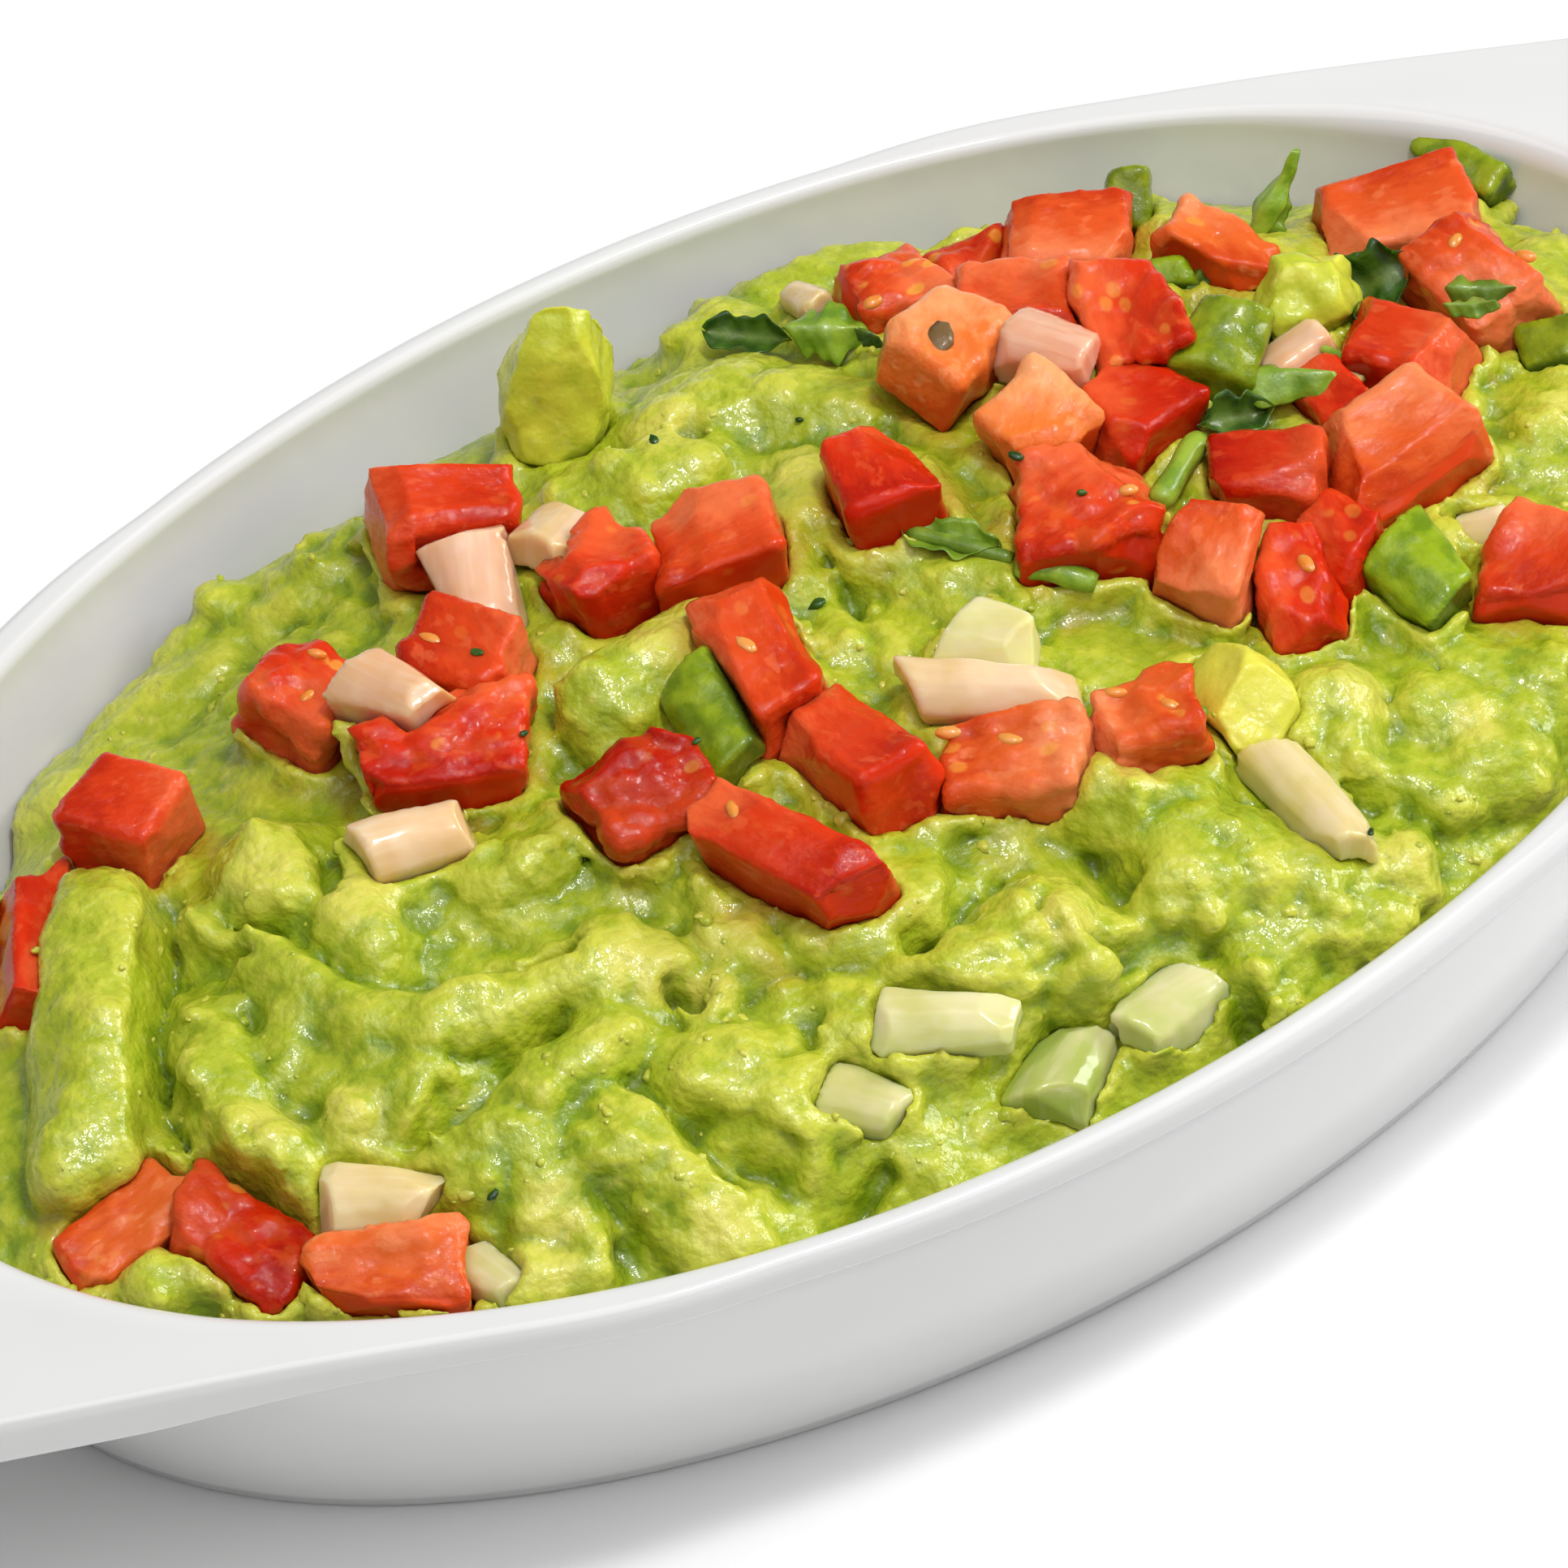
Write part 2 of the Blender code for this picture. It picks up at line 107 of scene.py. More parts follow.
# Folds that lie on the heap: line of (x, y), radius, how far the top stands above the heap, roughness 0 to 1
FOLDS = [
    ([(-60, -12), (-57, -15)], 4.2, 1.6, 0.3),
    ([(-64.4, -16.8)], 2.6, 2.6, 0.2),
    ([(-48.2, 5)], 3.4, 2.8, 0.8),
    ([(-41.4, 3.5), (-40, 6)], 3.9, 2.9, 1.0),
    ([(-45.8, -1.5)], 3.0, 2.2, 0.8),
    ([(-37.6, -1.3), (-38.7, -4)], 2.7, 2.2, 0.9),
    ([(-43, 28), (-36, 29.5), (-30, 31)], 6.0, 1.6, 0.2),
    ([(-27, 32.5), (-21.5, 31), (-17, 30)], 6.0, 1.8, 0.5),
    ([(-45.2, -5.1), (-42.8, -9.7), (-38.1, -13.8), (-30.7, -15), (-26, -16)], 3.7, 2.9, 0.5),
    ([(-52.4, -3.5), (-53.9, -9.8), (-52.5, -15)], 5.0, 2.6, 0.7),
    ([(-48, -8.7), (-44.2, -15), (-42.6, -18)], 3.6, 1.9, 0.4),
    ([(-47.4, -16.8)], 3.2, 2.4, 0.8),
    ([(-42, -24.3), (-35.9, -22.8), (-29.6, -21.6)], 3.8, 2.7, 0.6),
    ([(-40, -27.6), (-35.4, -27.6)], 3.6, 2.0, 0.6),
    ([(-41.6, -30.2), (-39, -30.4), (-39, -33)], 1.7, 2.2, 0.4),
    ([(-44, -32.4), (-40.3, -34.8)], 2.2, 1.9, 0.6),
    ([(-33.5, -27.5), (-31.3, -32), (-30.5, -36.5)], 4.6, 2.4, 0.6),
    ([(-24.4, -27.4), (-22.4, -31.4)], 4.8, 2.8, 0.6),
    ([(-14.1, -30.6), (-8.7, -29.6), (-4, -28.5)], 4.6, 2.6, 0.8),
    ([(-31.1, -37.8)], 2.6, 1.4, 0.6),
    ([(-3.4, -30), (0.6, -30.1), (1.7, -33.5)], 4.6, 3.6, 0.9),
    ([(12.5, -27.6), (11, -31.6)], 5.0, 3.2, 0.9),
    ([(15, -32.5), (17.3, -36.1)], 4.2, 3.0, 0.8),
    ([(18.6, -37.6), (21, -38.6)], 3.2, 2.2, 0.6),
    ([(11.2, -39), (10.8, -40.6)], 3.6, 2.0, 0.8),
    ([(28.2, -23.9), (27, -27.7)], 4.0, 2.2, 0.8),
    ([(25.5, -37)], 2.6, 2.0, 0.6),
    ([(30.8, -31.5), (35.5, -31.5)], 4.4, 2.0, 0.8),
    ([(35.5, -27), (41.5, -27)], 4.4, 2.0, 1.0),
    ([(4.9, 25.4), (11.2, 24.5), (13.5, 19.4)], 6.6, 1.7, 0.6),
    ([(11.3, 33.6), (14.5, 34)], 4.2, 1.8, 0.5),
    ([(-3, 21.8), (2.3, 20)], 4.4, 1.4, 0.7),
    ([(6.5, 9.2), (7.4, 14)], 3.6, 1.7, 0.8),
    ([(10.8, 0.1), (14.4, -0.8)], 4.6, 1.4, 0.7),
    ([(-27, -18), (-23.1, -19)], 3.0, 2.0, 0.8),
    ([(-18.8, -18.6), (-18.9, -20.6)], 3.0, 1.9, 0.8),
    ([(-22.1, -22.6)], 1.9, 2.0, 0.4),
    ([(-28.9, -4.3), (-24.5, -5.9)], 3.0, 1.7, 0.7),
    ([(-12, -24), (-5, -22)], 3.4, 1.4, 0.7),
    ([(65, 6.6), (61, -4)], 6.0, 1.8, 0.7),
    ([(54, -12.5), (58, -9)], 5.2, 1.6, 0.8),
    ([(45, 23.4), (50, 14.5)], 4.6, 1.6, 0.6),
    ([(47, -16), (52, -17)], 4.2, 1.4, 0.8),
    ([(20, 36), (27, 35)], 3.6, 1.4, 0.6),
]
# Folds that lie over the corners of tomato dice
OVER = [
    ([(9.4, -23.4), (11, -26)], 3.0, 3.6, 0.9),
    ([(-51.5, 10.5), (-55, 5), (-59, 0), (-63, -6)], 4.3, 4.2, 0.15),
    ([(-15.5, 2.4), (-10.7, 3.2), (-7.4, 5)], 3.3, 4.2, 0.8),
]
# The deep crease beside the long fold at the left end: line of (x, y), half width, depth below the heap
CREASE = [
    ([(-46.9, 9.2), (-50.0, 4.7), (-53.4, -0.2), (-56.2, -4.8), (-57.6, -8.6), (-57.4, -12.6)], 1.2, 2.4),
]
# Creases and hollows between the folds, in the same way
GROOVES = [
    ([(-50.4, 3.6), (-48.6, 1.2), (-47, -0.6)], 0.9, 1.2),
    ([(-36.6, -8.1), (-33, -11.8), (-29, -13.9)], 1.0, 1.6),
    ([(-28.3, -30.2), (-28.2, -34.2)], 1.2, 1.8),
    ([(-46.4, -20.8), (-40.5, -19.6), (-32.6, -18.6)], 0.9, 1.6),
    ([(-45.4, 1.4), (-43.4, 0.4)], 0.8, 1.4),
    ([(-26.8, -33.4), (-25.4, -35)], 1.6, 2.4),
    ([(-23.2, -39.2), (-18.1, -38.6)], 1.8, 3.0),
    ([(-9.1, -26.4), (-3.8, -25.5), (2, -24.5)], 1.1, 1.8),
    ([(6.4, -26), (6.6, -28.9)], 1.5, 2.4),
    ([(4.4, -35.2), (6.6, -35.8)], 1.6, 2.2),
    ([(7.4, -38.6), (8.2, -41)], 1.6, 2.4),
    ([(-23.6, -20.7), (-23.1, -22.3)], 0.8, 1.6),
    ([(4.6, 2.8), (4.8, 1)], 1.2, 1.9),
    ([(-34.5, 5), (-29.8, 4.6)], 1.9, 3.0),
    ([(3.8, 23.6), (4.8, 22.8)], 0.6, 0.3),
    ([(8.4, 34), (7.4, 36)], 2.0, 1.6),
    ([(24, -30.5), (28, -34)], 1.0, 1.6),
]
HUG = 0.5  # the heap clings to a topping this far above its own level
# Creamy pale lumps: x, y, reach
PALE_SPOTS = [
    (-37.8, -2.0, 3.2), (-25.0, -18.5, 3.2), (-47.4, -16.5, 2.6), (-22.2, -22.4, 2.0), (-40.4, -30.8, 2.6),
    (-42.5, -33.2, 2.6), (-41.8, 4.0, 3.0), (-31.0, -37.8, 2.4), (-18.8, -19.0, 2.6), (12.0, -24.5, 2.4),
    (25.0, -37.5, 2.6), (-9.0, 3.2, 3.6), (8.5, 14.5, 3.0), (3.0, 24.5, 3.4), (30.0, -25.0, 2.4),
    (36.0, -30.5, 2.2), (-52.5, -14.0, 2.6), (1.0, -32.0, 2.4), (58.0, -10.0, 2.4), (12.0, 2.6, 2.2),
]


# ---- noise on arrays of points
def hashed(seed, *cells):
    """A number from 0 to 1 for each lattice cell."""
    h = np.full(cells[0].shape, (seed * 2654435761) & 0xFFFFFFFF, np.uint32)
    for cell, prime in zip(cells, (73856093, 19349663, 83492791)):
        h ^= cell.astype(np.int64).astype(np.uint32) * np.uint32(prime)
        h ^= h >> np.uint32(15)
        h *= np.uint32(0x2C1B3C6D)
    h ^= h >> np.uint32(12)
    h *= np.uint32(0x297A2D39)
    h ^= h >> np.uint32(15)
    return (h & np.uint32(0xFFFFFF)).astype(np.float32) / np.float32(0x1000000)


def smooth_noise(p, size, seed):
    """Value noise from -1 to 1 with features about size across."""
    q = p / np.float32(size)
    base = np.floor(q)
    f = q - base
    f = f * f * f * (f * (f * 6 - 15) + 10)
    base = base.astype(np.int64)
    total = 0
    for dx in (0, 1):
        wx = f[:, 0] if dx else 1 - f[:, 0]
        for dy in (0, 1):
            wy = f[:, 1] if dy else 1 - f[:, 1]
            for dz in (0, 1):
                wz = f[:, 2] if dz else 1 - f[:, 2]
                total = total + wx * wy * wz * hashed(seed, base[:, 0] + dx, base[:, 1] + dy, base[:, 2] + dz)
    return 2 * total - 1


def layered(p, size, seed, layers=3, keep=0.5):
    """Noise with finer noise on it, each layer half the size and keep times the height of the last."""
    total, weight, full = 0, 1.0, 0.0
    for k in range(layers):
        total = total + weight * smooth_noise(p, size / 2**k, seed + 17 * k)
        full += weight
        weight *= keep
    return total / full


def lumps(p, size, seed):
    """Packed round grains: 1 at a grain's middle, falling to 0 at its edge and below that between grains."""
    q = p / np.float32(size)
    base = np.floor(q).astype(np.int64)
    f = (q - base).astype(np.float32)
    nearest = np.full(len(p), 9.0, np.float32)
    for dx in (-1, 0, 1):
        for dy in (-1, 0, 1):
            for dz in (-1, 0, 1):
                c = (base[:, 0] + dx, base[:, 1] + dy, base[:, 2] + dz)
                away = (dx + 0.15 + 0.7 * hashed(seed, *c) - f[:, 0]) ** 2
                away += (dy + 0.15 + 0.7 * hashed(seed + 1, *c) - f[:, 1]) ** 2
                away += (dz + 0.15 + 0.7 * hashed(seed + 2, *c) - f[:, 2]) ** 2
                np.minimum(nearest, away, out=nearest)
    return 1 - nearest * 1.6


def ramp(value, low, high):
    """0 up to low, 1 from high, and smooth between."""
    share = np.clip((value - low) / (high - low), 0, 1)
    return share * share * (3 - 2 * share)


def dots(a, b):
    """The dot product of each row of a with the same row of b."""
    return np.einsum("ij,ij->i", a, b)


def grid_quads(rows, columns, closed=None):
    """Quads of a grid of points numbered row by row; closed says which of the two comes back to its start."""
    i, j = np.arange(rows - (closed != "rows")), np.arange(columns - (closed != "columns"))
    i, j = np.meshgrid(i, j, indexing="ij")
    i2, j2 = (i + 1) % rows, (j + 1) % columns
    corners = ((i, j), (i2, j), (i2, j2), (i, j2))
    return np.stack([row * columns + column for row, column in corners], 2).reshape(-1, 4)


# ---- the dish's shape
def ellipse(angle, a, b):
    """Distance from the middle to an ellipse with half axes a and b."""
    return a * b / np.hypot(b * np.cos(angle), a * np.sin(angle))


def oval(angle, offset):
    """The same to the lip's centre line, moved out by offset."""
    return ellipse(angle, RIM_A + offset, RIM_B + offset)


def ear_outline(angle):
    """The same to the outline seen from above: straight sides that leave the lip, and a round tip."""
    slant = math.hypot(1, EAR_SLOPE)
    radius = (EAR_SIDE - EAR_SLOPE * EAR_TIP_X) / (slant - EAR_SLOPE)
    centre = EAR_TIP_X - radius
    c, s = abs(math.cos(angle)), abs(math.sin(angle))
    if s * (centre + radius * EAR_SLOPE / slant) < c * radius / slant:
        return centre * c + math.sqrt(max(0.0, radius**2 - (centre * s) ** 2))
    lip = oval(angle, LIP_R)
    return lip + (EAR_SIDE / (s + EAR_SLOPE * c) - lip) * ramp(lip * c, *EAR_FROM)


def inner_offset(z):
    """How far the inner wall lies outside the lip's centre line at height z; it is negative."""
    top = HEIGHT - LIP_R
    lean = -LIP_R - WALL_LEAN * (top - z)
    share = np.clip((top - z) / (top - FLOOR_Z), 0, 1)
    return lean - (FLOOR_INSET - LIP_R - WALL_LEAN * (top - FLOOR_Z)) * share**5


def quarter_turn(step):
    """Cosine and sine of angles from 0 to 90 degrees."""
    turns = [math.radians(turn) for turn in range(0, 91, step)]
    return [(math.cos(turn), math.sin(turn)) for turn in turns]


def dish_profile(t):
    """The section at polar angle t, from the foot out and up, over the lip and down to the floor."""
    outline, lip = ear_outline(t), oval(t, LIP_R)
    ear = float(ramp(outline - lip, 0.5, 7))
    foot = ellipse(t, FOOT_A, FOOT_B)
    line = [(0.5 * foot, FOOT_RECESS)]
    for inset, z in FOOT_RING:
        line.append((ellipse(t, FOOT_A - inset, FOOT_B - inset), z))
    # the outer wall
    wall_top = HEIGHT - LIP_DEPTH - (EAR_THICK - LIP_DEPTH + EAR_ROOT) * ear
    brim = oval(t, LIP_R - LIP_STEP)
    for k in range(WALL_STEPS + 1):
        share = 0.015 + 0.975 * k / WALL_STEPS
        climb = share * wall_top / (HEIGHT - LIP_DEPTH)
        out = (brim - foot) * climb + WALL_BULGE * math.sin(math.pi * climb)
        line.append((foot + out, share * wall_top))
    # the underside and edge of the ear, or of the lip where there is no ear
    past = max(0.0, outline * abs(math.cos(t)) - EAR_DROOP_FROM)
    top = HEIGHT - EAR_DROOP * past * past / (past + 10)
    under = top - (LIP_DEPTH + (EAR_THICK - LIP_DEPTH) * ear)
    start, low = line[-1]
    for share, bow in EAR_UNDER:
        z = low + (under - low) * share
        out = start + (outline - 0.75 - start) * share
        line.append((out, z + bow * (under - low) * 0.3 + 0.12 * (share < 0.2)))
    for c, s in quarter_turn(30):
        line.append((outline - EAR_EDGE_R + EAR_EDGE_R * s, under + EAR_EDGE_R * (1 - c)))
    line.append((outline, top - LIP_R * 1.25))
    for c, s in quarter_turn(15):
        line.append((outline - (LIP_R - LIP_FLAT) * (1 - c), top - LIP_R * (1 - s)))
    # the top, the inner shoulder and the inner wall
    shoulder = LIP_R + EAR_SHOULDER * ear
    wall = inner_offset(HEIGHT - shoulder)
    inner = oval(t, wall + shoulder)
    outer = outline - LIP_R + LIP_FLAT
    for share in (0.2, 0.45, 0.7, 0.9):
        z = top + (HEIGHT - top) * share - 0.5 * ear * share * (1 - share)
        line.append((outer + (inner - outer) * share, z))
    for c, s in quarter_turn(15):
        line.append((oval(t, wall + shoulder * (1 - s)), HEIGHT - shoulder * (1 - c)))
    for k in range(1, WALL_STEPS + 1):
        z = HEIGHT - shoulder + (FLOOR_Z - HEIGHT + shoulder) * k / WALL_STEPS
        line.append((oval(t, inner_offset(z)), z))
    line.append((0.5 * oval(t, -FLOOR_INSET), FLOOR_Z - FLOOR_SAG[0]))
    return line


def placed(name, data):
    """A new object of the scene."""
    obj = bpy.data.objects.new(name, data)
    bpy.context.scene.collection.objects.link(obj)
    return obj


def mesh_object(name, points, faces, look):
    """A piece from points in mm and arrays of faces, each array with faces of equal length."""
    mesh = bpy.data.meshes.new(name)
    points = np.asarray(points, np.float32) * np.float32(MM)
    loops = np.concatenate([f.ravel() for f in faces]).astype(np.int32)
    sizes = np.concatenate([np.full(len(f), f.shape[1], np.int32) for f in faces])
    mesh.vertices.add(len(points))
    mesh.vertices.foreach_set("co", points.ravel())
    mesh.loops.add(len(loops))
    mesh.loops.foreach_set("vertex_index", loops)
    mesh.polygons.add(len(sizes))
    mesh.polygons.foreach_set("loop_start", np.concatenate([[0], np.cumsum(sizes)[:-1]]).astype(np.int32))
    mesh.update(calc_edges=True)
    mesh.validate()
    mesh.materials.append(look)
    mesh.shade_smooth()
    return placed(name, mesh)


def paint(obj, name, values):
    """A number for each point of a piece, which its material reads."""
    layer = obj.data.attributes.new(name, "FLOAT", "POINT")
    layer.data.foreach_set("value", np.asarray(values, np.float32))


def make_dish(look):
    turns = 2 * np.pi * np.arange(DISH_STEPS) / DISH_STEPS
    around = np.arctan2(RIM_B * np.sin(turns), RIM_A * np.cos(turns))
    sections = np.array([dish_profile(t) for t in around])
    n, rings = sections.shape[:2]
    out, height = sections[:, :, 0], sections[:, :, 1]
    x, y = out * np.cos(around)[:, None], out * np.sin(around)[:, None]
    points = np.stack([x, y, height], 2).reshape(-1, 3)
    foot, floor = len(points), len(points) + 1
    points = np.vstack([points, [(0, 0, FOOT_RECESS), (0, 0, FLOOR_Z - FLOOR_SAG[1])]])
    first = rings * np.arange(n)
    after = np.roll(first, -1)
    below = np.stack([after, first, np.full(n, foot)], 1)
    above = np.stack([first + rings - 1, after + rings - 1, np.full(n, floor)], 1)
    obj = mesh_object("dish_glazed", points, [grid_quads(n, rings, "rows"), below, above], look)
    order = np.append(np.tile(np.arange(rings), n), [0, rings])
    # inside marks the inner wall, which the glaze paints bluish grey: painted light that cancels the green
    # light the heap bounces onto it
    paint(obj, "inside", ramp(order, rings - WALL_STEPS - 3, rings - WALL_STEPS + 1))
    return obj


# ---- the guacamole's shape
def out_from_middle(x, y):
    """Direction and distance from the dish's middle."""
    return np.arctan2(y, x), np.hypot(x, y)


def edge_height(angle):
    turns, heights = zip(*EDGE)
    return np.interp(np.degrees(angle), turns, heights, period=360)


def heap_height(x, y):
    """The heap without its folds."""
    angle, out = out_from_middle(x, y)
    edge = edge_height(angle)
    reach = np.minimum(1, out / oval(angle, inner_offset(edge)))
    return edge + (HEIGHT + CREST - edge) * (1 - reach ** DOME[0]) ** DOME[1]


def to_line(p, line):
    """Distance from points to a line of points, or to a single point."""
    if len(line) == 1:
        return np.linalg.norm(p - np.array(line[0], np.float32), axis=1)
    nearest = np.full(len(p), 1e9, np.float32)
    for a, b in zip(line, line[1:]):
        a, b = np.array(a, np.float32), np.array(b, np.float32)
        along = np.clip((p - a) @ (b - a) / max(1e-6, float((b - a) @ (b - a))), 0, 1)
        away = p - a - along[:, None] * (b - a)
        np.minimum(nearest, dots(away, away), out=nearest)
    return np.sqrt(nearest)


def soft_join(a, b, radius):
    """The nearer of two bodies, with a fillet of about that radius between them."""
    share = np.clip(0.5 + 0.5 * (b - a) / radius, 0, 1)
    return b + (a - b) * share - radius * share * (1 - share)


def folded(far, rough, q, folds, fillet):
    """The heap and its roughness after folds are laid on it."""
    for line, radius, lift, grain in folds:
        axis = [(x, y, float(heap_height(x, y)) + (lift - radius)) for x, y in line]
        fold = to_line(q, axis) - radius
        far = soft_join(far, fold, fillet)
        rough = rough + (grain - rough) * (1 - ramp(fold, 0.0, 1.6))
    return far, rough


def creased(far, q, creases):
    """The heap after cutting V-shaped creases into it, open at the top."""
    for line, radius, depth in creases:
        bottom = heap_height(q[:, 0], q[:, 1]) - SINK - depth
        width = radius * np.clip((q[:, 2] - bottom) / (depth + 0.5), 0, 1.5)
        cut = np.maximum(0.85 * (to_line(q[:, :2], line) - width), bottom - q[:, 2])
        far = -soft_join(-far, cut, 0.8)
    return far


def rough_at(p):
    """How rough the mash is away from its folds, from 0 to 1."""
    return ramp(layered(p, 13.0, 41, 2), -0.4, 0.25)


def heap_distance(p, column, die, foot):
    """Signed distance to the guacamole's surface, below 0 inside it. p is points in mm; the other three are
    distances to the columns over the toppings, to the toppings and to their lower halves."""
    bend = np.stack([layered(p, 8.0, s, 2) for s in (3, 5, 7)], 1) * 1.2
    bend += np.stack([layered(p, 3.2, s, 2) for s in (13, 15, 19)], 1) * 0.5
    q = p + bend.astype(np.float32)
    far = (q[:, 2] - heap_height(q[:, 0], q[:, 1]) + SINK) * 0.9
    far, rough = folded(far, rough_at(p), q, FOLDS, 0.9)
    far = creased(far, q, GROOVES)
    hug = 0.2 + 0.6 * smooth_noise(p, 2.6, 43)
    far = soft_join(far, foot - hug, 2.4)
    far = -soft_join(-far, column, 0.8)
    far, rough = folded(far, rough, q, OVER, 0.6)
    far = creased(far, q, CREASE)
    patch = 0.5 + 0.5 * smooth_noise(p, 5.0, 47)
    far = far - (0.15 + 0.8 * rough) * (lumps(p + 0.8 * bend, 4.2, 51) - 0.35)
    far -= (0.08 + 0.7 * rough * patch) * (lumps(p + 0.4 * bend, 2.3, 61) - 0.35)
    far -= (0.06 + 0.3 * rough) * (lumps(p, 1.4, 67) - 0.35)
    return -soft_join(-far, die, 0.45)


def upright_hull(points, low, high):
    """The convex body round a topping's points, squeezed between two heights, or stretched up to high."""
    body = bmesh.new()
    for x, y, z in points:
        body.verts.new((x, y, min(max(z, low), high)))
        if high > points[:, 2].max():
            body.verts.new((x, y, high))
    bmesh.ops.remove_doubles(body, verts=body.verts, dist=0.01)
    bmesh.ops.convex_hull(body, input=body.verts)
    bmesh.ops.triangulate(body, faces=body.faces)
    body.verts.ensure_lookup_table()
    number = {v: i for i, v in enumerate(v for v in body.verts if v.link_faces)}
    out = np.array([v.co for v in number]), np.array([[number[v] for v in f.verts] for f in body.faces])
    body.free()
    return out


def level_set(bodies, cell, width):
    """Distances to some solids on a grid, worked out within a width of their skins, in cells."""
    starts = np.cumsum([0] + [len(points) for points, _ in bodies])
    return openvdb.FloatGrid.createLevelSetFromPolygons(
        np.vstack([points for points, _ in bodies]).astype(np.float32),
        triangles=np.vstack([faces + start for (_, faces), start in zip(bodies, starts)]).astype(np.uint32),
        transform=openvdb.createLinearTransform(cell), halfWidth=width,
    )


def distance_field(bodies, low, counts):
    """Distance in mm to the nearest of some solids, on the heap's grid."""
    field = np.empty(counts, np.float32)
    volume = level_set(bodies, CELL, NEAR_REACH / CELL)
    volume.copyToArray(field, ijk=tuple(int(round(v / CELL)) for v in low))
    return field


def make_heap(toppings):
    """The surface of the heap as points and quads; toppings are points and quads of what lies on it."""
    low = np.floor(np.array(GRID[0]) / CELL) * CELL
    counts = np.ceil((np.array(GRID[1]) - low) / CELL).astype(int)
    xs, ys, zs = (low[i] + CELL * np.arange(counts[i]) for i in range(3))
    columns, feet, dice = [], [], []
    for points, quads in toppings:
        bottom, top = points[:, 2].min(), points[:, 2].max()
        level = float(heap_height(*((points.min(0) + points.max(0)) / 2)[:2])) + HUG
        buried = bottom + (top - bottom) * min(max((level - bottom) / (top - bottom), 0.12), 0.6)
        columns.append(upright_hull(points[::4], buried, SKY))
        feet.append(upright_hull(points[::4], bottom, buried))
        dice.append((points, np.vstack([quads[:, :3], quads[:, [0, 2, 3]]])))
    column, die, foot = (distance_field(bodies, low, counts) for bodies in (columns, dice, feet))
    gx, gy = np.meshgrid(xs, ys, indexing="ij")
    angle, reach = out_from_middle(gx, gy)
    above = zs - heap_height(gx, gy)[:, :, None]
    inside = reach < oval(angle, inner_offset(MEETS_WALL)) + 1.2
    grid = np.where(above < 0, -FAR, FAR).astype(np.float32)
    grid[~inside] = FAR
    i, j, k = np.nonzero(inside[:, :, None] & (abs(above) < BAND))
    p = np.stack([xs[i], ys[j], zs[k]], 1).astype(np.float32)
    far = heap_distance(p, column[i, j, k], die[i, j, k], foot[i, j, k])
    grid[i, j, k] = np.clip(far, -FAR, FAR)
    # the dish's wall holds the heap
    wall = oval(angle[:, :, None], inner_offset(zs[None, None, :]))
    grid = np.maximum(grid, (reach[:, :, None] - wall + WALL_GAP).astype(np.float32))
    volume = openvdb.FloatGrid(FAR)
    volume.copyFromArray(np.clip(grid, -FAR, FAR))
    points, _, quads = volume.convertToPolygons(0.0, 0.0)
    return points * CELL + low, facing_out(points, quads)


def outward(points, quads):
    """Unit normals of the points of a mesh of quads."""
    a, b, c, d = (points[quads[:, i]] for i in range(4))
    face = np.cross(c - a, d - b)
    total = np.zeros_like(points)
    for i in range(4):
        for axis in range(3):
            total[:, axis] += np.bincount(quads[:, i], face[:, axis], len(points))
    return total / np.maximum(np.linalg.norm(total, axis=1), 1e-9)[:, None]


def relaxed(points, quads, rounds, share=0.5):
    """The points after each has moved towards its neighbours a few times."""
    a, b = quads.ravel(), np.roll(quads, -1, 1).ravel()
    n = len(points)
    count = (np.bincount(a, minlength=n) + np.bincount(b, minlength=n))[:, None]
    for _ in range(rounds):
        middle = [np.bincount(a, points[b, i], n) + np.bincount(b, points[a, i], n) for i in range(3)]
        points = points + share * (np.stack(middle, 1) / np.maximum(count, 1) - points)
    return points


def kept_only(points, quads, keep):
    """The mesh with only the faces marked in keep."""
    quads = quads[keep]
    used = np.unique(quads)
    number = np.full(len(points), -1)
    number[used] = np.arange(len(used))
    return points[used], number[quads]


def open_edges(quads):
    """The loops of points round a mesh's holes, the longest first."""
    a, b = quads.ravel(), np.roll(quads, -1, 1).ravel()
    forward = set(zip(a.tolist(), b.tolist()))
    after = {}
    for i, j in forward:
        if (j, i) not in forward:
            after.setdefault(i, []).append(j)
    loops = []
    while after:
        loop = [next(iter(after))]
        while loop[-1] in after:
            here = loop[-1]
            step = after[here].pop()
            if not after[here]:
                del after[here]
            if step == loop[0]:
                break
            loop.append(step)
        loops.append(loop)
    return sorted(loops, key=len, reverse=True)


